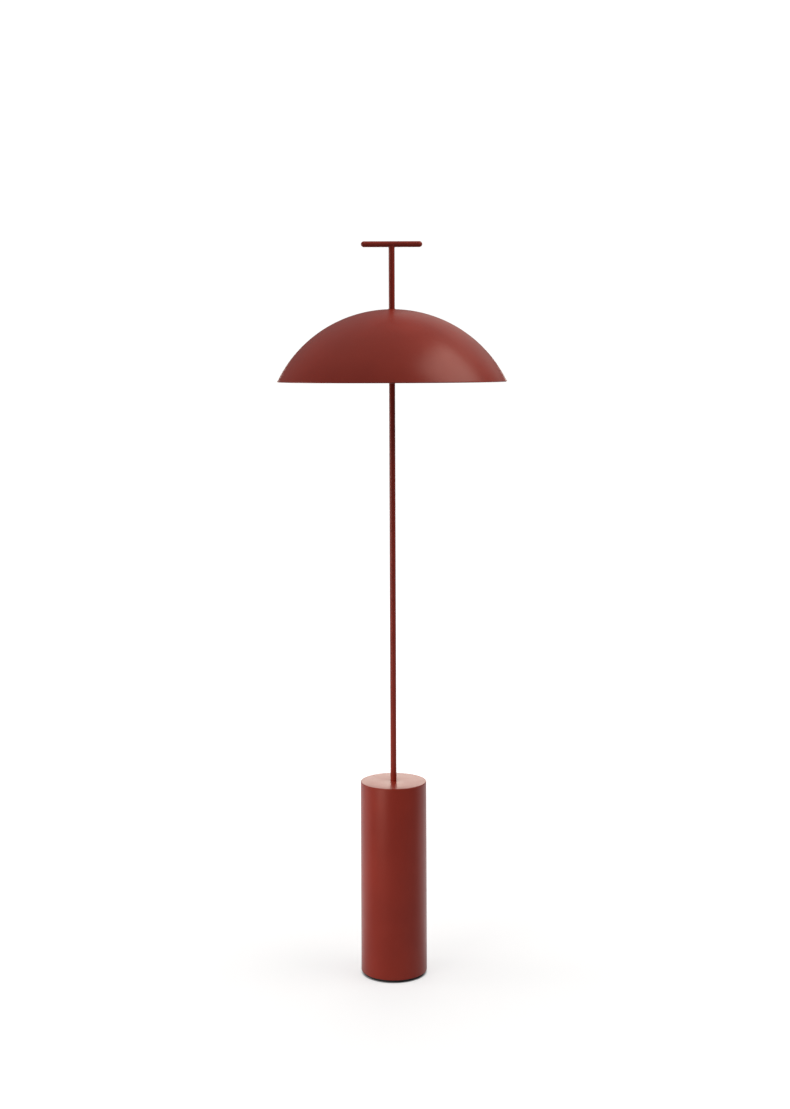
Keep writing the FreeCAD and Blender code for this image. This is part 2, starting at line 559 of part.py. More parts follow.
def head_coupler():
    """Turned coupler on top of the stem. It carries the heat sink on its flange and the shade on its
    crown, and lets the lead out of a window at the back."""
    thread_bottom = COUPLER_TOP_Z - STUD_IN_COUPLER - STUD_END_ROOM
    flange_bottom = SINK_Z - COUPLER_FLANGE_THICKNESS
    body = rod(COUPLER_DIAMETER, COUPLER_BOTTOM_Z, COUPLER_TOP_Z)
    body = body.fuse(rod(COUPLER_FLANGE, flange_bottom, SINK_Z))
    cuts = [rod(STEM_DIAMETER + 2 * SEAT_GAP, COUPLER_BOTTOM_Z, STEM_TOP_Z),
            rod(COUPLER_CHAMBER, STEM_TOP_Z, CHAMBER_TOP_Z),
            rod(STUD_DIAMETER + 2 * THREAD_GAP, thread_bottom, COUPLER_TOP_Z),
            block(WINDOW_WIDTH, COUPLER_DIAMETER, WINDOW_TOP_Z - WINDOW_HEIGHT, WINDOW_TOP_Z,
                  0, COUPLER_DIAMETER / 2)]
    cuts += [rod(SMALL_SCREW_HOLE, flange_bottom, SINK_Z, x, y) for x, y in sink_screw_places()]
    cuts += [grub_bar(GRUB_DIAMETER + 2 * THREAD_GAP, 0, side) for side in (-1, 1)]
    return cut_all(body, cuts)


def coupler_grub_screws():
    """The two grub screws that lock the coupler on the stem."""
    return [grub_bar(GRUB_DIAMETER, STEM_RADIUS + SEAT_GAP, side).common(
            rod(COUPLER_DIAMETER, COUPLER_BOTTOM_Z, SINK_Z)) for side in (-1, 1)]


def heat_sink():
    """Cast aluminium pan with radial fins on top, a skirt round the diffuser and posts for the hub cover."""
    outer = rod(SINK_DIAMETER, SINK_Z - SINK_SKIRT_DEPTH, SINK_TOP_Z)
    pan = outer.cut(rod(SINK_DIAMETER - 2 * SINK_SKIRT_WALL, SINK_Z - SINK_SKIRT_DEPTH, SINK_Z))
    fin_end = SINK_DIAMETER / 2 - FIN_END_MARGIN
    fins = []
    for i in range(FIN_COUNT):
        fin = Part.makeBox(fin_end - FIN_START_RADIUS, FIN_THICKNESS, FIN_HEIGHT,
                           Vector(FIN_START_RADIUS, -FIN_THICKNESS / 2, SINK_TOP_Z))
        fin.rotate(Vector(0, 0, 0), Vector(0, 0, 1), 360.0 * (i + 0.5) / FIN_COUNT)
        fins.append(fin)
    boss = rod(SINK_BOSS_DIAMETER, SINK_TOP_Z, SINK_TOP_Z + SINK_BOSS_HEIGHT)
    posts = [rod(POST_DIAMETER, HUB_FLOOR_Z, SINK_Z, x, y) for x, y in hub_screw_places()]
    body = pan.fuse([boss, *posts, *fins])
    screw_top = SINK_Z + SMALL_SCREW_BITE
    tapped = SMALL_SCREW_DIAMETER + 2 * THREAD_GAP
    cuts = [rod(COUPLER_DIAMETER + 2 * LOOSE_GAP, SINK_Z, SINK_TOP_Z + SINK_BOSS_HEIGHT)]
    cuts += [rod(tapped, SINK_Z, screw_top, x, y) for x, y in sink_screw_places() + board_screw_places()]
    cuts += [rod(tapped, HUB_FLOOR_Z, SINK_Z, x, y) for x, y in hub_screw_places()]
    cuts.append(block(CONNECTOR_WIDTH + 2 * CONNECTOR_HOLE_GAP, CONNECTOR_LENGTH + 2 * CONNECTOR_HOLE_GAP,
                      SINK_Z, SINK_TOP_Z, 0, CONNECTOR_RADIUS))
    return cut_all(body, cuts).removeSplitter()


def sink_screws():
    """Screws through the coupler's flange into the heat sink."""
    seat = SINK_Z - COUPLER_FLANGE_THICKNESS
    length = COUPLER_FLANGE_THICKNESS + SMALL_SCREW_BITE
    return [screw_up(SMALL_SCREW_DIAMETER, SMALL_SCREW_HEAD, SMALL_SCREW_HEAD_HEIGHT, seat, length, x, y)
            for x, y in sink_screw_places()]


def led_board():
    """Ring-shaped metal-core board under the heat sink."""
    board = tube(BOARD_DIAMETER, BOARD_HOLE, BOARD_Z, SINK_Z)
    return cut_all(board, [rod(SMALL_SCREW_HOLE, BOARD_Z, SINK_Z, x, y) for x, y in board_screw_places()])


def led_chips():
    """The LEDs, in rings on the board's underside."""
    chips = []
    for diameter, count in ((INNER_CHIP_CIRCLE, INNER_CHIP_COUNT), (OUTER_CHIP_CIRCLE, OUTER_CHIP_COUNT)):
        for i in range(count):
            chip = block(CHIP_SIZE, CHIP_SIZE, BOARD_Z - CHIP_HEIGHT, BOARD_Z, diameter / 2)
            chip.rotate(Vector(0, 0, 0), Vector(0, 0, 1), 360.0 * i / count)
            chips.append(chip)
    return chips


def board_screws():
    length = BOARD_THICKNESS + SMALL_SCREW_BITE
    return [screw_up(SMALL_SCREW_DIAMETER, SMALL_SCREW_HEAD, SMALL_SCREW_HEAD_HEIGHT, BOARD_Z, length, x, y)
            for x, y in board_screw_places()]


def board_connector():
    """Plug-in connector on the board's back, standing up through the heat sink."""
    return block(CONNECTOR_WIDTH, CONNECTOR_LENGTH, SINK_Z, SINK_Z + CONNECTOR_HEIGHT, 0, CONNECTOR_RADIUS)


def diffuser():
    """Opal dish with a rounded lower corner. The collar at its hole stands against the heat sink."""
    radius = SINK_DIAMETER / 2 - SINK_SKIRT_WALL - DIFFUSER_EDGE_GAP
    top = DIFFUSER_Z + DIFFUSER_RIM_HEIGHT
    floor = DIFFUSER_Z + DIFFUSER_WALL
    hole = DIFFUSER_HOLE / 2
    corner = DIFFUSER_CORNER_RADIUS
    inner = corner - DIFFUSER_WALL
    lean = math.sqrt(0.5)
    centre = (radius - corner, DIFFUSER_Z + corner)
    return turned([
        line((hole, DIFFUSER_Z), (centre[0], DIFFUSER_Z)),
        arc((centre[0], DIFFUSER_Z), (centre[0] + corner * lean, centre[1] - corner * lean),
            (radius, centre[1])),
        line((radius, centre[1]), (radius, top)),
        line((radius, top), (radius - DIFFUSER_WALL, top)),
        line((radius - DIFFUSER_WALL, top), (radius - DIFFUSER_WALL, centre[1])),
        arc((radius - DIFFUSER_WALL, centre[1]), (centre[0] + inner * lean, centre[1] - inner * lean),
            (centre[0], floor)),
        line((centre[0], floor), (hole + DIFFUSER_WALL, floor)),
        line((hole + DIFFUSER_WALL, floor), (hole + DIFFUSER_WALL, SINK_Z)),
        line((hole + DIFFUSER_WALL, SINK_Z), (hole, SINK_Z)),
        line((hole, SINK_Z), (hole, DIFFUSER_Z)),
    ])


def hub_cover():
    """Shallow painted cap under the coupler: it presses the diffuser up and holds the push button."""
    cap = rod(HUB_DIAMETER, HUB_Z, DIFFUSER_Z)
    lower_edge = [e for e in cap.Edges if abs(e.CenterOfMass.z - HUB_Z) < 1e-6]
    cap = cap.makeFillet(HUB_EDGE_RADIUS, lower_edge)
    cuts = [rod(HUB_DIAMETER - 2 * HUB_WALL, HUB_FLOOR_Z, DIFFUSER_Z),
            rod(COUPLER_DIAMETER + 2 * LOOSE_GAP, HUB_Z, HUB_FLOOR_Z),
            rod(BUSHING_DIAMETER + 2 * SEAT_GAP, HUB_Z, HUB_FLOOR_Z, 0, -SWITCH_OFFSET)]
    cuts += [rod(SMALL_SCREW_HOLE, HUB_Z, HUB_FLOOR_Z, x, y) for x, y in hub_screw_places()]
    return cut_all(cap, cuts)


def hub_screws():
    length = HUB_WALL + 3 * SMALL_SCREW_BITE
    return [screw_up(SMALL_SCREW_DIAMETER, SMALL_SCREW_HEAD, SMALL_SCREW_HEAD_HEIGHT, HUB_Z, length, x, y)
            for x, y in hub_screw_places()]


# ---- push-button dimmer -----------------------------------------------------------------------------------
def switch_rod(diameter, bottom, top):
    return rod(diameter, bottom, top, 0, -SWITCH_OFFSET)


def switch_housing():
    """Round switch body above the hub's floor, with a threaded bushing down through it."""
    body = switch_rod(SWITCH_DIAMETER, SWITCH_BOTTOM_Z, SWITCH_TOP_Z)
    body = body.fuse(switch_rod(BUSHING_DIAMETER, BUSHING_END_Z, SWITCH_BOTTOM_Z))
    return cut_all(body, [switch_rod(BUTTON_DIAMETER + 2 * SLIDE_GAP, BUSHING_END_Z, SWITCH_STOP_Z),
                          switch_rod(SWITCH_CHAMBER, SWITCH_STOP_Z, SWITCH_TOP_Z)])


def switch_ring_nut():
    """Thin nut that clamps the switch to the hub cover."""
    nut = hexagon(RING_NUT_WIDTH, HUB_Z - RING_NUT_HEIGHT, HUB_Z, 0, -SWITCH_OFFSET)
    return nut.cut(switch_rod(BUSHING_DIAMETER + 2 * THREAD_GAP, HUB_Z - RING_NUT_HEIGHT, HUB_Z))


def switch_cap():
    """Plug that closes the switch body and carries the contacts."""
    return switch_rod(SWITCH_CHAMBER - 2 * SEAT_GAP, SWITCH_TOP_Z - SWITCH_CAP_THICKNESS, SWITCH_TOP_Z)


def switch_terminals():
    return [block(TERMINAL_BLADE_THICKNESS, TERMINAL_BLADE_WIDTH, SWITCH_TOP_Z,
                  SWITCH_TOP_Z + TERMINAL_BLADE_HEIGHT, side * TERMINAL_BLADE_SPACING / 2, -SWITCH_OFFSET)
            for side in (-1, 1)]


def dimmer_button():
    """Push button: press for on and off, hold to dim. Its flange keeps it in the switch body."""
    flange_z = SWITCH_STOP_Z + BUTTON_REST_GAP
    face_z = BUSHING_END_Z - BUTTON_STANDS_OUT
    stalk = switch_rod(BUTTON_DIAMETER, face_z, flange_z)
    face_edge = [e for e in stalk.Edges if abs(e.CenterOfMass.z - face_z) < 1e-6]
    stalk = stalk.makeFillet(BUTTON_EDGE_RADIUS, face_edge)
    return stalk.fuse(switch_rod(BUTTON_FLANGE, flange_z, flange_z + BUTTON_FLANGE_THICKNESS))


def switch_spring():
    """Coil spring between the button's flange and the switch's cap."""
    bottom = SWITCH_STOP_Z + BUTTON_REST_GAP + BUTTON_FLANGE_THICKNESS + SPRING_END_GAP + SPRING_WIRE / 2
    top = SWITCH_TOP_Z - SWITCH_CAP_THICKNESS - SPRING_END_GAP - SPRING_WIRE / 2
    radius = (SPRING_DIAMETER - SPRING_WIRE) / 2
    height = top - bottom
    helix = Part.makeHelix(height / SPRING_TURNS, height, radius)
    corners = [Vector(radius + SPRING_WIRE / 2 * math.cos(a), 0, SPRING_WIRE / 2 * math.sin(a))
               for a in (2 * math.pi * i / SPRING_WIRE_SIDES for i in range(SPRING_WIRE_SIDES + 1))]
    wire_section = Part.makePolygon(corners)
    spring = Part.Wire(helix.Edges).makePipeShell([wire_section], True, True)
    spring.translate(Vector(0, -SWITCH_OFFSET, bottom))
    return spring


# ---- shade and handle -------------------------------------------------------------------------------------
def dome_height(sphere_radius, radius):
    """Height of a sphere about the dome's centre, at a distance from the lamp's axis."""
    return DOME_CENTRE_Z + math.sqrt(sphere_radius**2 - radius**2)


def dome_reach(sphere_radius, height):
    """Distance from the lamp's axis to a sphere about the dome's centre, at a height."""
    return math.sqrt(sphere_radius**2 - (height - DOME_CENTRE_Z) ** 2)


def dome_arc(sphere_radius, start_radius, end_radius):
    """Edge along a sphere about the dome's centre, between two distances from the lamp's axis."""
    middle = (start_radius + end_radius) / 2
    return arc(*((r, dome_height(sphere_radius, r)) for r in (start_radius, middle, end_radius)))


def shade():
    """Spun dome with a flat land at its crown and a bead rolled at its rim."""
    bead_z = RIM_HEIGHT + SHADE_BEAD_RADIUS
    hole = SHADE_HOLE / 2
    inside = DOME_RADIUS - SHADE_WALL
    rim_out = dome_reach(DOME_RADIUS, bead_z)
    rim_in = dome_reach(inside, bead_z)
    land_out = dome_reach(DOME_RADIUS, CROWN_Z)
    land_in = dome_reach(inside, CROWN_INSIDE_Z)
    sheet = turned([
        line((hole, CROWN_Z), (land_out, CROWN_Z)),
        dome_arc(DOME_RADIUS, land_out, rim_out),
        line((rim_out, bead_z), (rim_in, bead_z)),
        dome_arc(inside, rim_in, land_in),
        line((land_in, CROWN_INSIDE_Z), (hole, CROWN_INSIDE_Z)),
        line((hole, CROWN_INSIDE_Z), (hole, CROWN_Z)),
    ])
    bead = Part.makeTorus(SHADE_RADIUS - SHADE_BEAD_RADIUS, SHADE_BEAD_RADIUS, Vector(0, 0, bead_z))
    return sheet.fuse(bead)


def shade_saddle():
    """Turned saddle between the coupler and the inside of the dome, shaped to both."""
    inside = DOME_RADIUS - SHADE_WALL - SEAT_GAP
    land_in = dome_reach(inside, CROWN_INSIDE_Z)
    edge = SADDLE_DIAMETER / 2
    hole = SHADE_HOLE / 2
    return turned([
        line((hole, CROWN_INSIDE_Z), (land_in, CROWN_INSIDE_Z)),
        dome_arc(inside, land_in, edge),
        line((edge, dome_height(inside, edge)), (edge, COUPLER_TOP_Z)),
        line((edge, COUPLER_TOP_Z), (hole, COUPLER_TOP_Z)),
        line((hole, COUPLER_TOP_Z), (hole, CROWN_INSIDE_Z)),
    ])


def handle_stud():
    """Threaded stud that joins the handle to the coupler, through the shade's crown."""
    return rod(STUD_DIAMETER, COUPLER_TOP_Z - STUD_IN_COUPLER, HANDLE_FOOT_Z + STUD_IN_ROD)


def crown_washer():
    return tube(CROWN_WASHER_DIAMETER, SHADE_HOLE, CROWN_Z, HANDLE_FOOT_Z)


def bar_cylinder(diameter, length):
    return Part.makeCylinder(diameter / 2, length, Vector(-length / 2, 0, HANDLE_AXIS_Z), Vector(1, 0, 0))


def handle_rod():
    """Solid rod above the shade. Its top is coped round the bar, with a tenon up into it."""
    stem = rod(STEM_DIAMETER, HANDLE_FOOT_Z, HANDLE_AXIS_Z)
    stem = stem.cut(bar_cylinder(HANDLE_DIAMETER + 2 * SEAT_GAP, HANDLE_LENGTH))
    tenon = rod(TENON_DIAMETER, HANDLE_AXIS_Z - HANDLE_RADIUS - STEM_DIAMETER / 4,
                HANDLE_AXIS_Z + TENON_PAST_CENTRE)
    socket = rod(STUD_DIAMETER + 2 * THREAD_GAP, HANDLE_FOOT_Z, HANDLE_FOOT_Z + STUD_IN_ROD + STUD_END_ROOM)
    return stem.fuse(tenon).cut(socket)


def handle_bar():
    """Round bar with domed ends, drilled from below for the rod's tenon."""
    straight = HANDLE_LENGTH - HANDLE_DIAMETER
    bar = bar_cylinder(HANDLE_DIAMETER, straight)
    ends = [Part.makeSphere(HANDLE_RADIUS, Vector(side * straight / 2, 0, HANDLE_AXIS_Z))
            for side in (-1, 1)]
    mortise = rod(TENON_DIAMETER + 2 * THREAD_GAP, HANDLE_AXIS_Z - HANDLE_DIAMETER,
                  HANDLE_AXIS_Z + TENON_PAST_CENTRE)
    return bar.fuse(ends).removeSplitter().cut(mortise)


# ---- lead -------------------------------------------------------------------------------------------------
def rounded_path(points):
    """Straight runs joined by tangent arcs, each as large as its two runs allow."""
    edges, here = [], points[0]
    for before, corner, after in zip(points, points[1:], points[2:]):
        incoming, outgoing = (corner - before), (after - corner)
        reach = LEAD_ARC_SHARE * min(incoming.Length, outgoing.Length)
        incoming.normalize()
        outgoing.normalize()
        half_turn = incoming.getAngle(outgoing) / 2
        radius = reach / math.tan(half_turn)
        start, end = corner - incoming * reach, corner + outgoing * reach
        towards_centre = (outgoing - incoming).normalize()
        middle = corner + towards_centre * (radius / math.cos(half_turn) - radius)
        edges += [Part.LineSegment(here, start).toShape(), Part.Arc(start, middle, end).toShape()]
        print(f"lead arc radius {radius:.1f} mm")
        here = end
    edges.append(Part.LineSegment(here, points[-1]).toShape())
    return Part.Wire(edges)


def head_lead():
    """Two-core lead from the driver, up inside the stem, out at the coupler's window and to the board."""
    turn_z = WINDOW_TOP_Z - LEAD_WINDOW_DROP
    points = [Vector(0, DRIVER_Y, DRIVER_TOP_Z),
              Vector(0, DRIVER_Y, DRIVER_TOP_Z + LEAD_STRAIGHT),
              Vector(0, 0, DRIVER_TOP_Z + LEAD_CENTRED_RISE),
              Vector(0, 0, turn_z),
              Vector(0, CONNECTOR_RADIUS * LEAD_SHOULDER_SHARE, turn_z + LEAD_SHOULDER_RISE),
              Vector(0, CONNECTOR_RADIUS, SINK_TOP_Z + FIN_HEIGHT + LEAD_PLUG_RISE),
              Vector(0, CONNECTOR_RADIUS, SINK_Z + CONNECTOR_HEIGHT)]
    path = rounded_path(points)
    section = Part.Wire(Part.makeCircle(LEAD_DIAMETER / 2, points[0], Vector(0, 0, 1)))
    lead = path.makePipeShell([section], True, False)
    volume_length = lead.Volume / Part.Face(section).Area
    print(f"lead length {path.Length:.0f} mm, volume over section {volume_length:.0f} mm")
    return lead


PIECES = (base_shell, base_foot_ring, bottom_plate, ballast_weight, mounting_ring, base_screws, cable_grommet,
          stem_socket, stem_tube, stem_nipple, stem_lock_washer, stem_nut,
          driver_bracket, bracket_screws, led_driver, driver_screws, terminal_block, terminal_screws,
          head_coupler, coupler_grub_screws, heat_sink, sink_screws, led_board, led_chips, board_screws,
          board_connector, diffuser, hub_cover, hub_screws,
          switch_housing, switch_ring_nut, switch_cap, switch_terminals, dimmer_button, switch_spring,
          shade, shade_saddle, handle_stud, crown_washer, handle_rod, handle_bar, head_lead)


def main():
    os.makedirs("parts", exist_ok=True)
    for piece in PIECES:
        made = piece()
        shape = Part.makeCompound(made) if isinstance(made, list) else made
        for solid in shape.Solids:
            if not solid.isValid() or solid.Volume <= 0:
                raise ValueError(f"{piece.__name__} has a solid that is not sound")
        shape.exportStep(f"parts/{piece.__name__}.step")


main()
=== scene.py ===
# %% [markdown]
# # A mushroom floor lamp
# This lesson dresses a lamp whose solids are already drawn. The frame holds those solids, in metres, with
# the floor at Z = 0 and the front towards -Y. We keep the solids nobody looks at closely, give them proper
# finishes, and rebuild what the eye rests on: the spun dome, the slim stem, the handle, the tall round base
# and the light head that hides under the dome. Nearly all of those are turned or spun parts, so one small
# tool, a lathe made of nodes, does most of the work, and a second tree copies pieces round the lamp's axis.

# %% Load the frame
import math
import json

import bpy
import bmesh
from mathutils import Matrix, Vector


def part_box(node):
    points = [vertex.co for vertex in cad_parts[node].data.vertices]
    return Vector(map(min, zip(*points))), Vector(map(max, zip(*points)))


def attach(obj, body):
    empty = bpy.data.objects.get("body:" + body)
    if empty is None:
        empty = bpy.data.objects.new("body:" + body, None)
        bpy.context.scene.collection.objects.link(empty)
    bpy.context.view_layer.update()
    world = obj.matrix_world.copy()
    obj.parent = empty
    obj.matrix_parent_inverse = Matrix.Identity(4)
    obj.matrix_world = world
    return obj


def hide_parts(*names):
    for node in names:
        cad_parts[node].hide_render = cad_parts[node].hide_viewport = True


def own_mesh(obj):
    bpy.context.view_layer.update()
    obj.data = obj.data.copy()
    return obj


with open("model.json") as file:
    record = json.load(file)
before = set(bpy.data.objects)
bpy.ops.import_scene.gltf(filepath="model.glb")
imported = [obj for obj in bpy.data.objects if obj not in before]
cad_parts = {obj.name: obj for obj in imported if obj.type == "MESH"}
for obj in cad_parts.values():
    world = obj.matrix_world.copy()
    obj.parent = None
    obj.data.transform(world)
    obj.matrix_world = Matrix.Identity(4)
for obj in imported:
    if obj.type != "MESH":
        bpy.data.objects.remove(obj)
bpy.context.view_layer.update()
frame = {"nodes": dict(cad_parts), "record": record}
nodes = frame["nodes"]

# %% [markdown]
# ## Measures
# The solids carry the real sizes, so the pieces read them instead of repeating them. Corners come back in
# millimetres, rounded to a twentieth, because that is how a drawing of such a lamp would state them.

# %% Read sizes from the solids
MM = 0.001
STEPS_IN_A_MM = 20


def corners(node):
    """The lowest and highest corner of a solid, in millimetres."""
    return [Vector(round(c / MM * STEPS_IN_A_MM) / STEPS_IN_A_MM for c in corner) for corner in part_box(node)]


shade_low, shade_high = corners("shade")
print(f"shade {2 * shade_high.x:.1f} wide, rim at {shade_low.z:.1f}, crown at {shade_high.z:.1f} mm")

# %% [markdown]
# ## Camera
# The photograph was taken level, from a little above the rim's height, about 2.8 m away. Verticals stay
# upright in it although the lamp fills the frame below the horizon, which is what a shifted lens does, so
# the camera is level too and its frame is shifted down. The picture leans by a fifth of a degree, and the
# camera rolls by as much.

# %% Place the camera
CAMERA_PLACE = (0.0052, -2.833, 1.0557)
CAMERA_LENS = 52.85
CAMERA_SHIFT_DOWN = 0.1715
CAMERA_ROLL = math.radians(0.21)
QUARTER_TURN = math.radians(90)

camera_data = bpy.data.cameras.new("camera")
camera_data.lens = CAMERA_LENS
camera_data.shift_y = -CAMERA_SHIFT_DOWN
camera = bpy.data.objects.new("camera", camera_data)
bpy.context.scene.collection.objects.link(camera)
camera.location = CAMERA_PLACE
camera.rotation_euler = (QUARTER_TURN, CAMERA_ROLL, 0)
bpy.context.scene.camera = camera
print("camera", CAMERA_PLACE, "lens", CAMERA_LENS)

# %% [markdown]
# ## Small tools for colours and nodes
# Colours are picked as sRGB hex, as in any paint program, and turned to the linear values that light needs.
# Materials and shapes are both trees of nodes. One function adds a node, sets its fields and fills its
# sockets: another node's output is linked, and anything else is set as a plain value.

# %% Colours and nodes
def linear(hex_colour):
    """An sRGB hex colour as linear RGBA, by the standard's own curve."""
    channels = [int(hex_colour[i:i + 2], 16) / 255 for i in (1, 3, 5)]
    return [c / 12.92 if c <= 0.04045 else ((c + 0.055) / 1.055) ** 2.4 for c in channels] + [1.0]


def add(tree, kind, sockets=None, **fields):
    """Add a node to a tree and return its outputs. Sockets maps a name or number to a value or an output."""
    node = tree.nodes.new(kind)
    for name, value in fields.items():
        setattr(node, name, value)
    for key, value in (sockets or {}).items():
        if isinstance(value, bpy.types.NodeSocket):
            tree.links.new(value, node.inputs[key])
        else:
            node.inputs[key].default_value = value
    return node.outputs


print("mid grey in linear light:", round(linear("#808080")[0], 3))

# %% [markdown]
# ## Small tools for materials
# Every finish here is one recipe with other amounts: a base colour, clouds of a second tone, a sheen that
# varies a little and a fine grain that stands up from the surface. All patterns are noise in the object's
# own space, in millimetres, so that a finish keeps its scale on large pieces and small ones.

# %% Material helpers
def finish_material(name, base, roughness, sockets=None):
    """A material with these values on its shader's sockets: returns it, its tree and the shader."""
    material = bpy.data.materials.new(name)
    material.use_nodes = True
    tree = material.node_tree
    shader = tree.nodes["Principled BSDF"]
    for socket, value in {"Base Color": linear(base), "Roughness": roughness, **(sockets or {})}.items():
        shader.inputs[socket].default_value = value
    return material, tree, shader


def noise(tree, size_mm, detail=2.0, stretch=(1, 1, 1)):
    """Noise whose grains are about that many millimetres wide on the object, longer along a small stretch."""
    place = add(tree, "ShaderNodeTexCoord")["Object"]
    place = add(tree, "ShaderNodeMapping", {"Vector": place, "Scale": stretch})[0]
    scale = 1 / (size_mm * MM)
    return add(tree, "ShaderNodeTexNoise", {"Vector": place, "Scale": scale, "Detail": detail})[0]


def mixed_colours(tree, factor, first, second, start=0.0, end=1.0):
    """A colour that goes from the first hex colour to the second as the factor goes from start to end."""
    mixed = add(tree, "ShaderNodeValToRGB", {"Fac": factor})[0]
    for stop, hex_colour, position in zip(mixed.node.color_ramp.elements, (first, second), (start, end)):
        stop.color = linear(hex_colour)
        stop.position = position
    return mixed


def spread(tree, factor, low, high, start=0.3, end=0.7):
    """A factor's stretch from start to end, spread over the range from low to high."""
    sockets = {"Value": factor, "From Min": start, "From Max": end, "To Min": low, "To Max": high}
    return add(tree, "ShaderNodeMapRange", sockets)[0]


def vary_roughness(tree, shader, roughness, by, pattern):
    """Let the roughness wander to both sides of its value, as a pattern of noise says."""
    tree.links.new(spread(tree, pattern, roughness - by, roughness + by), shader.inputs["Roughness"])


def bump(tree, shader, height, depth_mm, strength):
    """Raise the surface by a height that runs from 0 to 1, over a depth in millimetres."""
    sockets = {"Height": height, "Distance": depth_mm * MM, "Strength": strength}
    tree.links.new(add(tree, "ShaderNodeBump", sockets)[0], shader.inputs["Normal"])


print("material helpers ready")

# %% [markdown]
# ## The paint: satin powder coat
# The whole lamp is one brick red. Powder is sprayed dry, sticks by charge and melts into an even skin 0.08
# mm thick. It flows well but not perfectly, which leaves the shallow, millimetre-wide waves called orange
# peel, and the finely ground matting agent in it gives a satin sheen: a clear but soft reflection. The
# colour hardly varies; the eye sees its evenness, broken by a little dust where it faces up. Orange peel on
# this lamp is about 1.2 mm from crest to crest. The reflection does the rest: at a flat angle the coat
# mirrors the white room, so edges go pale, and seen straight on its sheen is faintly pink, because some of
# the light is turned back by the pigment itself.

# %% Powder coat
BRICK_RED, BRICK_RED_DEEP, DUST, SHEEN_TINT = "#962E1F", "#8E2A1C", "#A8948C", "#FFDAD7"
COAT_GLOSS, COAT_ROUGHNESS, COAT_VARIES_BY = 0.5, 0.32, 0.02
SHEEN_CLOUD_MM, TONE_CLOUD_MM, TONE_FROM, TONE_TO = 14, 90, 0.35, 0.65
DUST_MOST, DUST_FROM_SLOPE, SPECK_MM, SPECKS_FROM, SPECKS_TO = 0.05, 0.6, 2.5, 0.5, 0.75
ORANGE_PEEL_MM, ORANGE_PEEL_DEPTH_MM, ORANGE_PEEL_SHOWS = 1.2, 0.012, 0.35


def powder_coat(name):
    """Two close tones, dust on what faces up, a tinted sheen that wanders and the waves of orange peel."""
    sockets = {"Specular IOR Level": COAT_GLOSS, "Specular Tint": linear(SHEEN_TINT)}
    material, tree, shader = finish_material(name, BRICK_RED, COAT_ROUGHNESS, sockets)
    tone = mixed_colours(tree, noise(tree, TONE_CLOUD_MM), BRICK_RED_DEEP, BRICK_RED, TONE_FROM, TONE_TO)
    normal = add(tree, "ShaderNodeNewGeometry")["Normal"]
    facing = add(tree, "ShaderNodeSeparateXYZ", {"Vector": normal})
    settled = spread(tree, facing["Z"], 0, DUST_MOST, DUST_FROM_SLOPE, 1.0)
    specks = spread(tree, noise(tree, SPECK_MM, detail=6), 0, 1, SPECKS_FROM, SPECKS_TO)
    dust = add(tree, "ShaderNodeMath", {0: settled, 1: specks}, operation="MULTIPLY")[0]
    dusty = add(tree, "ShaderNodeMix", {0: dust, 6: tone, 7: linear(DUST)}, data_type="RGBA")
    tree.links.new(dusty[2], shader.inputs["Base Color"])
    vary_roughness(tree, shader, COAT_ROUGHNESS, COAT_VARIES_BY, noise(tree, SHEEN_CLOUD_MM, detail=4))
    bump(tree, shader, noise(tree, ORANGE_PEEL_MM, detail=1), ORANGE_PEEL_DEPTH_MM, ORANGE_PEEL_SHOWS)
    return material


brick_coat = powder_coat("satin_brick_powder_coat")
FINISHES = {"brick_powder_coat": brick_coat, "brick_powder_coat_aluminium": brick_coat}
print("made", brick_coat.name)

# %% [markdown]
# ## Bare metals
# Under the paint and out of sight the lamp is ordinary hardware. Zinc plate is a thin bright grey skin with
# a faint cloudy grain. Black oxide is steel stained almost black and oiled. Brass is turned, so its tool
# marks run round it. Cast iron is left rough from its sand mould, and die-cast aluminium is blasted to an
# even, sparkling grey.

# %% Metals
CLOUDS_TO_GRAIN, SHEEN_TO_GRAIN = 8, 3
METAL_VARIES_BY, METAL_GRAIN_SHOWS = 0.08, 0.6
TOOL_MARKS = (1, 1, 8)


def metal(name, colour, colour_worn, roughness, grain_mm, depth_mm, stretch=(1, 1, 1)):
    """A metal with clouds of a second tone, uneven sheen and a grain that stands up by a depth."""
    material, tree, shader = finish_material(name, colour, roughness, {"Metallic": 1.0})
    clouds = noise(tree, grain_mm * CLOUDS_TO_GRAIN, 4, stretch)
    tree.links.new(mixed_colours(tree, clouds, colour, colour_worn), shader.inputs["Base Color"])
    uneven = noise(tree, grain_mm * SHEEN_TO_GRAIN, 3, stretch)
    vary_roughness(tree, shader, roughness, METAL_VARIES_BY, uneven)
    bump(tree, shader, noise(tree, grain_mm, 3, stretch), depth_mm, METAL_GRAIN_SHOWS)
    return material


FINISHES |= {
    "zinc_plated_steel": metal("bright_zinc_plate", "#C4C8CC", "#AEB3B9", 0.32, grain_mm=1.0, depth_mm=0.01),
    "black_oxide_steel": metal("black_oxide_steel", "#34353A", "#232428", 0.42, grain_mm=0.8, depth_mm=0.01),
    "turned_brass": metal("turned_brass", "#D2A85A", "#B98E43", 0.28, 0.6, depth_mm=0.01, stretch=TOOL_MARKS),
    "grey_cast_iron": metal("sand_cast_iron", "#5A5B5E", "#414245", 0.68, grain_mm=1.4, depth_mm=0.15),
    "cast_aluminium": metal("blasted_cast_aluminium", "#B9BBBE", "#A5A8AC", 0.5, grain_mm=0.7, depth_mm=0.03),
}
print(len(FINISHES), "finishes with the metals")

# %% [markdown]
# ## Rubber and plastics
# Moulded rubber and nylon copy the fine grain of their mould. Opal polycarbonate is milky all through:
# light enters it, scatters and comes out again close by, which softens its shading, so it gets some
# subsurface scattering.

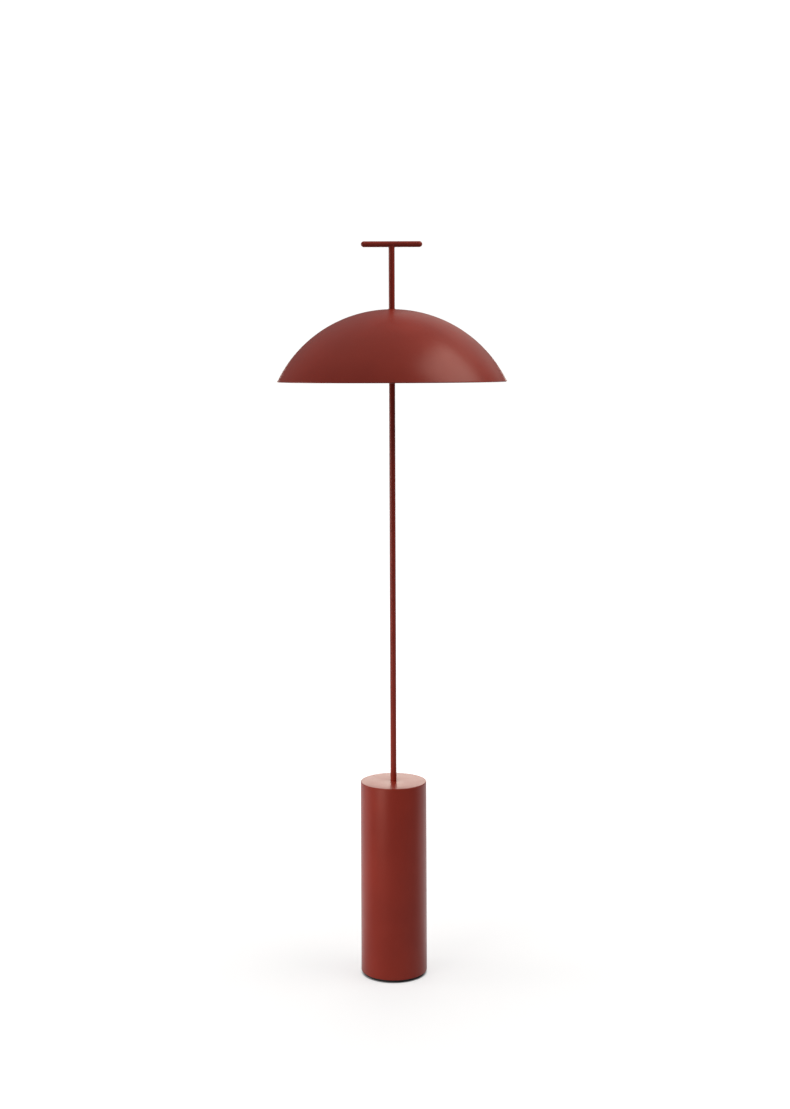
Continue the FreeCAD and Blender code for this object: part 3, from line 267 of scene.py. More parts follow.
# %% Rubber and plastics
MOULDED_CLOUD_MM, MOULDED_SHEEN_MM = 9, 4
MOULDED_VARIES_BY, MOULDED_GRAIN_SHOWS = 0.06, 0.5


def moulded(name, colour, colour_pale, roughness, grain_mm=0.5, depth_mm=0.02, sockets=None):
    """A moulded plastic or rubber: slight clouds in its colour and the grain of its mould."""
    material, tree, shader = finish_material(name, colour, roughness, sockets)
    clouds = mixed_colours(tree, noise(tree, MOULDED_CLOUD_MM, detail=3), colour, colour_pale)
    tree.links.new(clouds, shader.inputs["Base Color"])
    vary_roughness(tree, shader, roughness, MOULDED_VARIES_BY, noise(tree, MOULDED_SHEEN_MM, detail=3))
    bump(tree, shader, noise(tree, grain_mm, 2), depth_mm, MOULDED_GRAIN_SHOWS)
    return material


milky = {"Subsurface Weight": 0.35, "Subsurface Scale": 4 * MM}
FINISHES |= {
    "black_rubber": moulded("moulded_black_rubber", "#161617", "#1F1F20", 0.72),
    "white_nylon": moulded("moulded_white_nylon", "#E4E2DA", "#DAD8CF", 0.45),
    "black_nylon": moulded("moulded_black_nylon", "#1C1C1E", "#252527", 0.5),
    "driver_case": moulded("pale_polycarbonate_case", "#D9D9D6", "#CFCFCC", 0.5, grain_mm=0.8),
    "lead_sheath": moulded("white_silicone_sheath", "#DCDAD6", "#D0CECA", 0.6),
    "board_white_mask": moulded("white_solder_mask", "#F0F0EC", "#E8E8E3", 0.35, 0.3, depth_mm=0.005),
    "led_phosphor": moulded("yellow_led_phosphor", "#E8CF5C", "#DDBE48", 0.3, grain_mm=0.3, depth_mm=0.01),
    "opal_polycarbonate": moulded("opal_polycarbonate", "#EFEFEC", "#EAEAE6", 0.38, 0.6, 0.004, milky),
}
print(len(FINISHES), "finishes with the plastics")

# %% [markdown]
# ## Finishes for the solids that stay
# Every solid gets the finish of its slot in the record, so that what is hidden is right too when the lamp
# is taken apart. The pieces that are rebuilt below get the same finishes.

# %% Dress the solids
node_slot = {entry["node"]: entry["material_slot"] for entry in frame["record"]["subparts"]}
finish_of = {name: FINISHES[node_slot[name]] for name in nodes}
for name, solid in nodes.items():
    solid.data.materials.clear()
    solid.data.materials.append(finish_of[name])
print(f"{len(nodes)} solids dressed in {len(set(finish_of.values()))} finishes")

# %% [markdown]
# ## Shapes from node trees
# A geometry tree is a recipe that can be applied to any object. One function opens a tree, one adds a sum
# to it, and one closes it: what is instanced becomes real mesh, is shaded smooth and gets its material.

# %% Tree helpers
def new_tree(name, numbers):
    """A tree that takes geometry, these numbers and a material, and the outputs that it works from."""
    tree = bpy.data.node_groups.new(name, "GeometryNodeTree")
    tree.interface.new_socket("Geometry", in_out="INPUT", socket_type="NodeSocketGeometry")
    for label, default in numbers.items():
        kind = "NodeSocketInt" if isinstance(default, int) else "NodeSocketFloat"
        tree.interface.new_socket(label, in_out="INPUT", socket_type=kind).default_value = default
    tree.interface.new_socket("Material", in_out="INPUT", socket_type="NodeSocketMaterial")
    tree.interface.new_socket("Geometry", in_out="OUTPUT", socket_type="NodeSocketGeometry")
    return tree, tree.nodes.new("NodeGroupInput").outputs


def maths(tree, operation, first, second=0.0):
    """The result of one sum, which a tree works out when it runs."""
    return add(tree, "ShaderNodeMath", {0: first, 1: second}, operation=operation)[0]


def end_tree(tree, geometry, given):
    """Realise what is instanced, shade it smooth, set its material and hand it over."""
    real = add(tree, "GeometryNodeRealizeInstances", {"Geometry": geometry})[0]
    smooth = add(tree, "GeometryNodeSetShadeSmooth", {"Geometry": real})[0]
    dressed = add(tree, "GeometryNodeSetMaterial", {"Geometry": smooth, "Material": given["Material"]})[0]
    add(tree, "NodeGroupOutput", {0: dressed})
    print(f"the {tree.name} tree has {len(tree.nodes)} nodes")


print("tree helpers ready")

# %% [markdown]
# ## A lathe made of nodes
# A turned part is a profile swept round an axis. Blender's Screw modifier does that too, but a lathe of
# nodes shows how it works, and one tree serves every turned piece. The tree makes a plain grid with one row
# for each point of the profile and one column for each step round the axis, and then moves every grid point
# to its place: the row says which profile point it copies and the column says how far round it turns. Where
# the ends of the grid meet, equal points are merged, so the skin is closed.

# %% Build the lathe tree
STEPS_ROUND = 128
HALF_A_POINT = 0.5                        # keeps the division into rows clear of rounding
WELD_DISTANCE = 0.001

lathe, given = new_tree("lathe", {"Profile Points": 2, "Steps Round": STEPS_ROUND})
columns = maths(lathe, "ADD", given["Steps Round"], 1)
grid = add(lathe, "GeometryNodeMeshGrid", {"Vertices X": given["Profile Points"], "Vertices Y": columns})
number = add(lathe, "GeometryNodeInputIndex")[0]
middle = maths(lathe, "ADD", number, HALF_A_POINT)
row = maths(lathe, "FLOOR", maths(lathe, "DIVIDE", middle, columns))
column = maths(lathe, "SUBTRACT", number, maths(lathe, "MULTIPLY", row, columns))
share = maths(lathe, "DIVIDE", column, given["Steps Round"])
turn = maths(lathe, "MULTIPLY", share, 2 * math.pi)
position = add(lathe, "GeometryNodeInputPosition")[0]
copied = add(lathe, "GeometryNodeSampleIndex", {
    "Geometry": given["Geometry"], "Value": position, "Index": row}, data_type="FLOAT_VECTOR")
point = add(lathe, "ShaderNodeSeparateXYZ", {0: copied[0]})
place = add(lathe, "ShaderNodeCombineXYZ", {
    "X": maths(lathe, "MULTIPLY", point["X"], maths(lathe, "COSINE", turn)),
    "Y": maths(lathe, "MULTIPLY", point["X"], maths(lathe, "SINE", turn)),
    "Z": point["Z"],
})
swept = add(lathe, "GeometryNodeSetPosition", {"Geometry": grid[0], "Position": place[0]})
closed = add(lathe, "GeometryNodeMergeByDistance", {"Geometry": swept[0], "Distance": WELD_DISTANCE * MM})
end_tree(lathe, closed[0], given)

# %% [markdown]
# ## Profiles
# A profile is drawn in millimetres as (distance from the axis, height, radius) corners, each rounded to its
# radius. Hardly any real edge is sharp, and the thin line of light on a rounded one is what makes it look
# made.

# %% Profile helpers
ARC_STEPS = 6


def rounded(profile):
    """The points of a profile of (x, z, radius) corners. It is closed, unless it starts on the axis."""
    points = []
    for i, (x, z, radius) in enumerate(profile):
        here = Vector((x, z))
        if radius <= 0:
            points.append(here)
            continue
        before = (Vector(profile[i - 1][:2]) - here).normalized()
        after = (Vector(profile[(i + 1) % len(profile)][:2]) - here).normalized()
        half = before.angle(after) / 2
        centre = here + (before + after).normalized() * radius / math.sin(half)
        start = here + before * radius / math.tan(half) - centre
        end = here + after * radius / math.tan(half) - centre
        sweep = start.angle_signed(end)
        for k in range(ARC_STEPS + 1):
            points.append(centre + Matrix.Rotation(-sweep * k / ARC_STEPS, 2) @ start)
    return points if profile[0][0] == 0 else points + points[:1]


def arc_points(centre, radius, start_degrees, end_degrees, steps):
    """Points along an arc, from one angle to another, counted from the horizontal."""
    step = [k / steps for k in range(steps + 1)]
    angles = [math.radians(start_degrees + (end_degrees - start_degrees) * s) for s in step]
    return [Vector((centre[0] + radius * math.cos(a), centre[1] + radius * math.sin(a))) for a in angles]


print("a rounded square has", len(rounded([(0, 0, 1), (9, 0, 1), (9, 9, 1), (0, 9, 1)])), "points")

# %% [markdown]
# ## Meshes
# A tree or a modifier only shows its result. To hand a piece on, that result is made the object's own plain
# mesh. Then its faces are turned outwards, and edges sharper than 40 degrees are kept crisp.

# %% Mesh helpers
CRISP_DEGREES = 40


def mesh_object(name, points, faces=()):
    """A new object from points in millimetres."""
    mesh = bpy.data.meshes.new(name)
    mesh.from_pydata([Vector(p) * MM for p in points], (), faces)
    obj = bpy.data.objects.new(name, mesh)
    bpy.context.scene.collection.objects.link(obj)
    return obj


def make_plain(obj):
    """Turn what an object's modifiers show into its own plain mesh."""
    evaluated = obj.evaluated_get(bpy.context.evaluated_depsgraph_get())
    mesh = bpy.data.meshes.new_from_object(evaluated)
    obj.modifiers.clear()
    obj.data = mesh


def run_tree(obj, tree, values):
    """Apply a geometry tree to an object with these input values, and leave it a plain mesh."""
    modifier = obj.modifiers.new(tree.name, "NODES")
    modifier.node_group = tree
    for socket in tree.interface.items_tree:
        if socket.in_out == "INPUT" and socket.name in values:
            modifier[socket.identifier] = values[socket.name]
    make_plain(obj)


def tidy_normals(obj):
    """Turn the faces outwards and keep edges crisp where the surface turns sharply."""
    work = bmesh.new()
    work.from_mesh(obj.data)
    bmesh.ops.recalc_face_normals(work, faces=work.faces)
    work.to_mesh(obj.data)
    work.free()
    obj.data.shade_smooth()
    obj.data.set_sharp_from_angle(angle=math.radians(CRISP_DEGREES))


print("mesh helpers ready")

# %% [markdown]
# ## Turning, cutting and drilling
# Now turning a part is one call. Holes are cut as on the real part, by a drill, which is itself a turned
# cylinder and is thrown away after the cut.

# %% Workshop helpers
def turned(name, profile, material, steps=STEPS_ROUND, place=None):
    """Turn a profile round Z, then move it by a matrix if the part lies elsewhere."""
    obj = mesh_object(name, [(p[0], 0, p[1]) for p in profile])
    run_tree(obj, lathe, {"Profile Points": len(profile), "Steps Round": steps, "Material": material})
    if place:
        obj.data.transform(place)
    tidy_normals(obj)
    return obj


def carve(obj, cutter, operation="DIFFERENCE"):
    """Cut one object out of another, or keep only what both share, and throw the cutter away."""
    modifier = obj.modifiers.new("carve", "BOOLEAN")
    modifier.object = cutter
    modifier.operation = operation
    modifier.solver = "EXACT"
    make_plain(obj)
    bpy.data.objects.remove(cutter)
    tidy_normals(obj)


def drill(obj, diameter, start, end, place, steps=48):
    """Bore a hole along the drill's own Z, from start to end, with the drill moved by a matrix."""
    half = diameter / 2
    profile = [(0, start), (half, start), (half, end), (0, end)]
    carve(obj, turned("drill_bit", profile, obj.data.materials[0], steps, place))


def moved(x=0, y=0, z=0):
    """The matrix of a move in millimetres."""
    return Matrix.Translation(Vector((x, y, z)) * MM)


print("workshop ready")

# %% [markdown]
# ## Handing a piece over
# A finished piece rides on one of the lamp's bodies, so that it moves with it, and stands in for the solids
# it shows.

# %% Fit a piece to the frame
def fit(obj, *replaced, body="lamp", like=None):
    """Ride on a body and stand in for solids if there are any. The argument like is not used."""
    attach(obj, body)
    if replaced:
        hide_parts(*replaced)
    low = [min(v.co[i] for v in obj.data.vertices) / MM for i in range(3)]
    high = [max(v.co[i] for v in obj.data.vertices) / MM for i in range(3)]
    size = " x ".join(f"{h - l:.1f}" for l, h in zip(low, high))
    print(f"{obj.name}: {size} mm, {len(obj.data.polygons)} faces")


# %% [markdown]
# ## The dome
# The shade is a disc of aluminium pressed over a turning form until it is a shallow dome, a slice off a
# sphere. Its edge is rolled back on itself, which takes away the knife edge and stiffens it. The profile
# runs from the hole at the crown, down the outside, round the rolled bead and back up the inside. The
# sphere's centre lies on the axis below the rim, and follows from the width and the depth.

# %% Turn the dome
SHADE_WALL, LAND_RADIUS, CROWN_HOLE_RADIUS = 1.2, 8.0, 3.2
BEAD_RADIUS, BEAD_START, BEAD_END, BEAD_STEPS = 1.3, 45, -225, 16
DOME_STEPS, DOME_STEPS_ROUND = 48, 256

rim_radius, crown_z = shade_high.x, shade_high.z
depth = crown_z - shade_low.z
centre_drop = (rim_radius**2 - depth**2 - LAND_RADIUS**2) / (2 * depth)
dome_radius = math.hypot(rim_radius, centre_drop)
dome_centre = (0, shade_low.z - centre_drop)
bead_centre = (rim_radius - BEAD_RADIUS, shade_low.z + BEAD_RADIUS)
bead_degrees = math.degrees(math.atan2(centre_drop + BEAD_RADIUS, rim_radius - BEAD_RADIUS))
land_degrees = math.degrees(math.acos(LAND_RADIUS / dome_radius))
outside = arc_points(dome_centre, dome_radius, land_degrees, bead_degrees, DOME_STEPS)
inside = arc_points(dome_centre, dome_radius - SHADE_WALL, bead_degrees, land_degrees, DOME_STEPS)
bead = arc_points(bead_centre, BEAD_RADIUS, BEAD_START, BEAD_END, BEAD_STEPS)
land = [Vector((CROWN_HOLE_RADIUS, crown_z - SHADE_WALL)), Vector((CROWN_HOLE_RADIUS, crown_z))]
dome = turned("dome_shade", land + outside + bead + inside + land[:1], brick_coat, DOME_STEPS_ROUND)
fit(dome, "shade")
print(f"sphere radius {dome_radius:.1f} mm")

# %% [markdown]
# ## The base
# The base is a steel can that opens downwards. Its flat top meets the wall in a tight radius, and the lower
# edge ends above the floor, over the set-back rubber foot. Low at the back a hole is drilled for the supply
# cable.

# %% Turn the base and drill its inlet
BASE_WALL, BASE_TOP, BASE_EDGE = 2.0, 3.0, 1.2
FIT_GAP = 0.05
INLET_HOLE, PAST_WALL = 12.1, 5

base_low, base_high = corners("base_shell")
stem_low, stem_high = corners("stem_tube")
inlet_low, inlet_high = corners("cable_grommet")
stem_radius = stem_high.x
stem_hole = stem_radius + FIT_GAP
base_inside, base_ceiling = base_high.x - BASE_WALL, base_high.z - BASE_TOP
can = turned("base_can", rounded([
    (stem_hole, base_high.z, 0.2), (base_high.x, base_high.z, BASE_EDGE), (base_high.x, base_low.z, 0.4),
    (base_inside, base_low.z, 0.4), (base_inside, base_ceiling, 0), (stem_hole, base_ceiling, 0),
]), brick_coat, steps=192)
to_the_back = moved(z=(inlet_low.z + inlet_high.z) / 2) @ Matrix.Rotation(-QUARTER_TURN, 4, "X")
drill(can, INLET_HOLE, inlet_low.y - PAST_WALL, inlet_high.y + PAST_WALL, to_the_back, steps=64)
fit(can, "base_shell")

# %% [markdown]
# ## Stem and washer
# The stem is plain steel tube that runs from the base up into the dome. The washer under the handle's rod
# is the only ring that breaks the line.

# %% Turn the stem and the washer
STEM_WALL = 1.25

stem_bore = stem_radius - STEM_WALL
stem = turned("stem", rounded([
    (stem_bore, stem_low.z, 0), (stem_radius, stem_low.z, 0.3), (stem_radius, stem_high.z, 0.3),
    (stem_bore, stem_high.z, 0),
]), brick_coat, steps=64)
fit(stem, "stem_tube")

washer_low, washer_high = corners("crown_washer")
washer = turned("handle_washer", rounded([
    (CROWN_HOLE_RADIUS, washer_low.z, 0), (washer_high.x, washer_low.z, 0.1),
    (washer_high.x, washer_high.z, 0.35), (CROWN_HOLE_RADIUS, washer_high.z, 0),
]), brick_coat, steps=64)
fit(washer, "crown_washer")

# %% [markdown]
# ## The handle
# The handle is a rod with a short bar across it, brazed and dressed smooth before painting. Both are
# turned; the bar's ends are domed, and it is laid down along X after it is turned. The rod ends inside the
# bar.

# %% Turn the rod and the bar
BAR_END_STEPS = 16

rod_low, rod_high = corners("handle_rod")
bar_low, bar_high = corners("handle_bar")
rod_radius, bar_radius, bar_half = rod_high.x, bar_high.y, bar_high.x
bar_axis_z = (bar_low.z + bar_high.z) / 2
rod_top_z = bar_axis_z - bar_radius / 2
rod = turned("handle_rod_solid", rounded([
    (0, rod_low.z, 0), (rod_radius, rod_low.z, 0.3), (rod_radius, rod_top_z, 0), (0, rod_top_z, 0),
]), brick_coat, steps=64)
fit(rod, "handle_rod")

end_low = arc_points((0, -bar_half + bar_radius), bar_radius, -90, 0, BAR_END_STEPS)
end_high = arc_points((0, bar_half - bar_radius), bar_radius, 0, 90, BAR_END_STEPS)
lie_along_x = moved(z=bar_axis_z) @ Matrix.Rotation(QUARTER_TURN, 4, "Y")
bar = turned("handle_bar_solid", end_low + end_high, brick_coat, steps=64, place=lie_along_x)
fit(bar, "handle_bar")

# %% [markdown]
# ## The seam of the handle
# Where two round bars meet at right angles the seam is a saddle-shaped curve. It is the rod's circle,
# lifted at each point to the underside of the bar, so a tree makes the bead of the seam from that rule: a
# circle, moved up by the bar's own roundness, and swept with a small round section that thins out where the
# two surfaces run into each other and there is no corner left to fill.

# %% Build the seam tree and sweep the seam
SEAM_STEPS, SECTION_STEPS = 96, 12
SEAM_BEAD_RADIUS, SEAM_THINNEST_SQUARED = 0.7, 0.02


def circle(tree, radius, steps):
    """A circle as a curve."""
    return add(tree, "GeometryNodeCurvePrimitiveCircle", {"Resolution": steps, "Radius": radius})[0]


def swept_round(tree, curve, radius, scale=1.0):
    """Sweep a curve with a round section of this radius, made thicker or thinner by a scale."""
    section = circle(tree, radius, SECTION_STEPS)
    sockets = {"Curve": curve, "Profile Curve": section, "Scale": scale, "Fill Caps": True}
    return add(tree, "GeometryNodeCurveToMesh", sockets)[0]


tree, given = new_tree("saddle_seam", {
    "Rod Radius": 0.005, "Bar Radius": 0.005, "Bar Axis Height": 1.0, "Bead Radius": 0.001})
ring = circle(tree, given["Rod Radius"], SEAM_STEPS)
spot = add(tree, "ShaderNodeSeparateXYZ", {0: add(tree, "GeometryNodeInputPosition")[0]})
across_squared = maths(tree, "MULTIPLY", spot["Y"], spot["Y"])
bar_squared = maths(tree, "MULTIPLY", given["Bar Radius"], given["Bar Radius"])
left_over = maths(tree, "SUBTRACT", bar_squared, across_squared)
under = maths(tree, "SQRT", maths(tree, "MAXIMUM", left_over, 0))
height = maths(tree, "SUBTRACT", given["Bar Axis Height"], under)
saddle = add(tree, "ShaderNodeCombineXYZ", {"X": spot["X"], "Y": spot["Y"], "Z": height})
flank = maths(tree, "SUBTRACT", 1, maths(tree, "DIVIDE", across_squared, bar_squared))
thin = maths(tree, "SQRT", maths(tree, "MAXIMUM", flank, SEAM_THINNEST_SQUARED))
lifted = add(tree, "GeometryNodeSetPosition", {"Geometry": ring, "Position": saddle[0]})
end_tree(tree, swept_round(tree, lifted[0], given["Bead Radius"], thin), given)

seam = mesh_object("handle_seam", [])
run_tree(seam, tree, {
    "Rod Radius": rod_radius * MM, "Bar Radius": bar_radius * MM, "Bar Axis Height": bar_axis_z * MM,
    "Bead Radius": SEAM_BEAD_RADIUS * MM, "Material": brick_coat})
tidy_normals(seam)
fit(seam, like="handle_rod")

# %% [markdown]
# ## Copies round an axis
# Fins, posts and screws all stand in a ring. The pattern tree takes one of them, in its first place, and
# repeats it: it makes one point for each copy, all on the lamp's axis, puts the piece on every point and
# turns each copy by its own share of a full turn.

# %% Build the pattern tree
pattern, given = new_tree("round_pattern", {"Count": 3, "First Angle": 0.0})
spots = add(pattern, "GeometryNodePoints", {"Count": given["Count"]})[0]
number = add(pattern, "GeometryNodeInputIndex")[0]
turn = maths(pattern, "MULTIPLY", maths(pattern, "DIVIDE", number, given["Count"]), 2 * math.pi)
about_z = add(pattern, "ShaderNodeCombineXYZ", {"Z": maths(pattern, "ADD", turn, given["First Angle"])})
rotation = add(pattern, "FunctionNodeEulerToRotation", {0: about_z[0]})[0]
copies = add(pattern, "GeometryNodeInstanceOnPoints", {
    "Points": spots, "Instance": given["Geometry"], "Rotation": rotation})
end_tree(pattern, copies[0], given)


def repeated(obj, count, first_degrees=0):
    """Copy an object round the lamp's axis, the first copy turned by an angle."""
    material = obj.data.materials[0]
    run_tree(obj, pattern, {"Count": count, "First Angle": math.radians(first_degrees), "Material": material})
    tidy_normals(obj)
    return obj


# %% [markdown]
# ## The heat sink
# Under the dome hangs a die-cast pan. It carries the LED board, and its fins, on top where nobody looks,
# give the warmth of the LEDs to the air inside the dome. Castings have rounded edges, because molten metal
# fills no sharp corner and because the tool that pulls out of them needs a slope, so a block here has its
# edges bevelled.

# %% Cast the pan
PLATE_THICKNESS, SKIRT_WALL, SKIRT_DEPTH = 4.0, 2.0, 16.0
BOSS_RADIUS, BOSS_HEIGHT, SINK_BORE_RADIUS = 15.0, 8.0, 8.2
FIN_HEIGHT = 12.0
CONNECTOR_HALF, CONNECTOR_DISTANCE, SLOT_EDGE = 4.3, 44.0, 0.5
BEVEL_STEPS, ROUND_BEVEL = 3, 0.5
PAST_FACE = 1                             # how far a cutter reaches past the face it cuts through


def soft_block(name, low, high, edge_radius, material):
    """A block between two corners in millimetres, with its edges rounded."""
    size, centre = (Vector(high) - Vector(low)) * MM, (Vector(high) + Vector(low)) / 2
    obj = mesh_object(name, [])
    work = bmesh.new()
    bmesh.ops.create_cube(work, size=1, matrix=moved(*centre) @ Matrix.Diagonal((*size, 1)))
    bmesh.ops.bevel(work, geom=work.edges, offset=edge_radius * MM, segments=BEVEL_STEPS, profile=ROUND_BEVEL,
                    affect="EDGES")
    work.to_mesh(obj.data)
    work.free()
    obj.data.materials.append(material)
    return obj


sink_low, sink_high = corners("heat_sink")
sink_radius = sink_high.x
plate_top = sink_high.z - FIN_HEIGHT
plate_bottom = plate_top - PLATE_THICKNESS
skirt_bottom, skirt_inside = plate_bottom - SKIRT_DEPTH, sink_radius - SKIRT_WALL
boss_top = plate_top + BOSS_HEIGHT
aluminium = finish_of["heat_sink"]
pan = turned("sink_pan", rounded([
    (SINK_BORE_RADIUS, plate_bottom, 0.3), (skirt_inside, plate_bottom, 1.0),
    (skirt_inside, skirt_bottom, 0.6), (sink_radius, skirt_bottom, 0.6), (sink_radius, plate_top, 1.5),
    (BOSS_RADIUS, plate_top, 1.5), (BOSS_RADIUS, boss_top, 1.0), (SINK_BORE_RADIUS, boss_top, 0.5),
]), aluminium, steps=160)
slot_low = (-CONNECTOR_HALF, CONNECTOR_DISTANCE - CONNECTOR_HALF, plate_bottom - PAST_FACE)
slot_high = (CONNECTOR_HALF, CONNECTOR_DISTANCE + CONNECTOR_HALF, plate_top + PAST_FACE)
carve(pan, soft_block("slot_cutter", slot_low, slot_high, SLOT_EDGE, aluminium))
fit(pan, "heat_sink")

# %% Stand the fins and the posts on it
FIN_COUNT, FIN_THICKNESS, FIN_START, FIN_MARGIN = 24, 1.8, 30.0, 4.0
FIN_ROOT, FIN_EDGE = 0.7, 0.6
POST_COUNT, POST_RADIUS, POST_DISTANCE, POST_ROOT = 2, 3.5, 23.0, 0.5

fin_low = (FIN_START, -FIN_THICKNESS / 2, plate_top - FIN_ROOT)
fin_high = (sink_radius - FIN_MARGIN, FIN_THICKNESS / 2, sink_high.z)
fin = soft_block("sink_fins", fin_low, fin_high, FIN_EDGE, aluminium)
fit(repeated(fin, FIN_COUNT, first_degrees=180 / FIN_COUNT), like="heat_sink")

post = turned("sink_posts", rounded([
    (0, sink_low.z, 0), (POST_RADIUS, sink_low.z, 0.4), (POST_RADIUS, plate_bottom + POST_ROOT, 0),
    (0, plate_bottom + POST_ROOT, 0),
]), aluminium, steps=32, place=moved(POST_DISTANCE))
fit(repeated(post, POST_COUNT), like="heat_sink")

# %% [markdown]
# ## The opal diffuser
# The diffuser is a moulded opal dish that lies inside the pan's skirt and spreads the light of forty LEDs
# into one even disc. A low collar round its middle hole keeps it from sagging.

# %% Mould the diffuser
OPAL_WALL, OPAL_CORNER, OPAL_HOLE_RADIUS, OPAL_RIM_HEIGHT = 2.0, 5.0, 28.0, 10.0

opal_low, opal_high = corners("diffuser")
opal_rim, opal_floor = opal_low.z + OPAL_RIM_HEIGHT, opal_low.z + OPAL_WALL
opal_inside, collar_radius = opal_high.x - OPAL_WALL, OPAL_HOLE_RADIUS + OPAL_WALL
diffuser = turned("opal_diffuser", rounded([
    (OPAL_HOLE_RADIUS, opal_low.z, 0.8), (opal_high.x, opal_low.z, OPAL_CORNER), (opal_high.x, opal_rim, 0.6),
    (opal_inside, opal_rim, 0.6), (opal_inside, opal_floor, OPAL_CORNER - OPAL_WALL),
    (collar_radius, opal_floor, 0.8), (collar_radius, opal_high.z, 0.4), (OPAL_HOLE_RADIUS, opal_high.z, 0.4),
]), finish_of["diffuser"], steps=160)
fit(diffuser, "diffuser")

# %% [markdown]
# ## The hub cover
# The painted hub cover holds the diffuser up and hides the stem's coupler, so from below one sees, from the
# outside in: the dome, the pan's grey rim, the opal ring, the red hub and the stem. It has a hole for the
# switch at the front and two for its screws.

# %% Turn the hub cover and drill it
HUB_WALL, HUB_EDGE, HUB_SCREW_HOLE = 1.5, 2.0, 3.4
SWITCH_DISTANCE, SWITCH_HOLE = 19.5, 9.1

hub_low, hub_high = corners("hub_cover")
hub_inside, hub_floor = hub_high.x - HUB_WALL, hub_low.z + HUB_WALL
hub = turned("hub_cap", rounded([
    (SINK_BORE_RADIUS, hub_low.z, 0.3), (hub_high.x, hub_low.z, HUB_EDGE), (hub_high.x, hub_high.z, 0.3),
    (hub_inside, hub_high.z, 0.3), (hub_inside, hub_floor, 0.5), (SINK_BORE_RADIUS, hub_floor, 0.3),
]), brick_coat)
to_switch = moved(y=-SWITCH_DISTANCE)
drill(hub, SWITCH_HOLE, hub_low.z - PAST_FACE, hub_high.z, to_switch)
for side in (-1, 1):
    drill(hub, HUB_SCREW_HOLE, hub_low.z - PAST_FACE, hub_high.z, moved(side * POST_DISTANCE), steps=32)
fit(hub, "hub_cover")

# %% [markdown]
# ## The coupler
# One turned piece takes the stem from below and the handle's stud from above, and carries the pan on its
# flange. A window in its side lets the LED board's lead out of the stem, and two grub screws clamp the stem
# in it.

# %% Turn the coupler and cut its window
COUPLER_RADIUS, COUPLER_FLANGE = 8.0, 4.0
STUD_BORE_RADIUS, STUD_BORE_DEPTH = 3.05, 16.0
CHAMBER_RADIUS, CHAMBER_FLOOR, CHAMBER_CEILING = 4.2, 20.0, 20.0
WINDOW_HALF_WIDTH, WINDOW_BOTTOM_DROP, WINDOW_TOP_DROP, WINDOW_EDGE = 4.0, 39.0, 23.0, 0.4
GRUB_HOLE, PAST_COUPLER = 4.1, 12.0

coupler_low, coupler_high = corners("head_coupler")
grub_low, grub_high = corners("coupler_grub_screws")
coupler_top = coupler_high.z
chamber_top, chamber_bottom = coupler_top - CHAMBER_CEILING, coupler_low.z + CHAMBER_FLOOR
flange_bottom, stud_floor = plate_bottom - COUPLER_FLANGE, coupler_top - STUD_BORE_DEPTH
coupler = turned("stem_coupler", rounded([
    (0, chamber_top, 0), (CHAMBER_RADIUS, chamber_top, 0), (CHAMBER_RADIUS, chamber_bottom, 0),
    (stem_hole, chamber_bottom, 0), (stem_hole, coupler_low.z, 0.3), (COUPLER_RADIUS, coupler_low.z, 0.8),
    (COUPLER_RADIUS, flange_bottom, 0.3), (coupler_high.x, flange_bottom, 0.5),
    (coupler_high.x, plate_bottom, 0.3), (COUPLER_RADIUS, plate_bottom, 0),
    (COUPLER_RADIUS, coupler_top, 0.4), (STUD_BORE_RADIUS, coupler_top, 0.3),
    (STUD_BORE_RADIUS, stud_floor, 0), (0, stud_floor, 0),
]), finish_of["head_coupler"], steps=64)
window_low = (-WINDOW_HALF_WIDTH, 0, coupler_top - WINDOW_BOTTOM_DROP)
window_high = (WINDOW_HALF_WIDTH, PAST_COUPLER, coupler_top - WINDOW_TOP_DROP)
carve(coupler, soft_block("window_cutter", window_low, window_high, WINDOW_EDGE, aluminium))
through_grubs = moved(z=(grub_low.z + grub_high.z) / 2) @ Matrix.Rotation(QUARTER_TURN, 4, "Y")
drill(coupler, GRUB_HOLE, -PAST_COUPLER, PAST_COUPLER, through_grubs, steps=32)
fit(coupler, "head_coupler")

# %% [markdown]
# ## The switch
# The dimmer is a small push button in the hub, on the front side where a hand finds it under the dome. Its
# threaded bushing comes through the hub. So fine a thread reads as plain rings, and its profile is a zigzag
# with one crest for each pitch.

# %% Turn the switch body
THREAD_PITCH, THREAD_DEPTH = 0.75, 0.3
SWITCH_RADIUS, BUSHING_RADIUS, SWITCH_BORE_RADIUS = 6.0, 4.5, 4.8
BUTTON_RADIUS, BUTTON_FLANGE = 3.25, 1.5

switch_low, switch_high = corners("switch_housing")
button_low, button_high = corners("dimmer_button")
flange_low = button_high.z - BUTTON_FLANGE
bushing_bore, bushing_top = BUTTON_RADIUS + FIT_GAP, flange_low - FIT_GAP
crests = int((hub_floor - switch_low.z) / THREAD_PITCH)
thread = [(BUSHING_RADIUS - THREAD_DEPTH * ((k + 1) % 2), switch_low.z + THREAD_PITCH * k / 2, 0)
          for k in range(2 * crests)]
housing = turned("switch_body", rounded([
    (bushing_bore, bushing_top, 0), (bushing_bore, switch_low.z, 0.2), *thread,
    (BUSHING_RADIUS, hub_floor, 0), (SWITCH_RADIUS, hub_floor, 0.3), (SWITCH_RADIUS, switch_high.z, 0.4),
    (SWITCH_BORE_RADIUS, switch_high.z, 0.2), (SWITCH_BORE_RADIUS, bushing_top, 0),
]), finish_of["switch_housing"], steps=64, place=to_switch)
fit(housing, "switch_housing")
print(crests, "crests of thread")

# %% [markdown]
# ## The nut
# A thin nut clamps the bushing. It is turned from hexagon bar: a chamfered ring cut down to a hexagon,
# which leaves the curved corners that real nuts have.

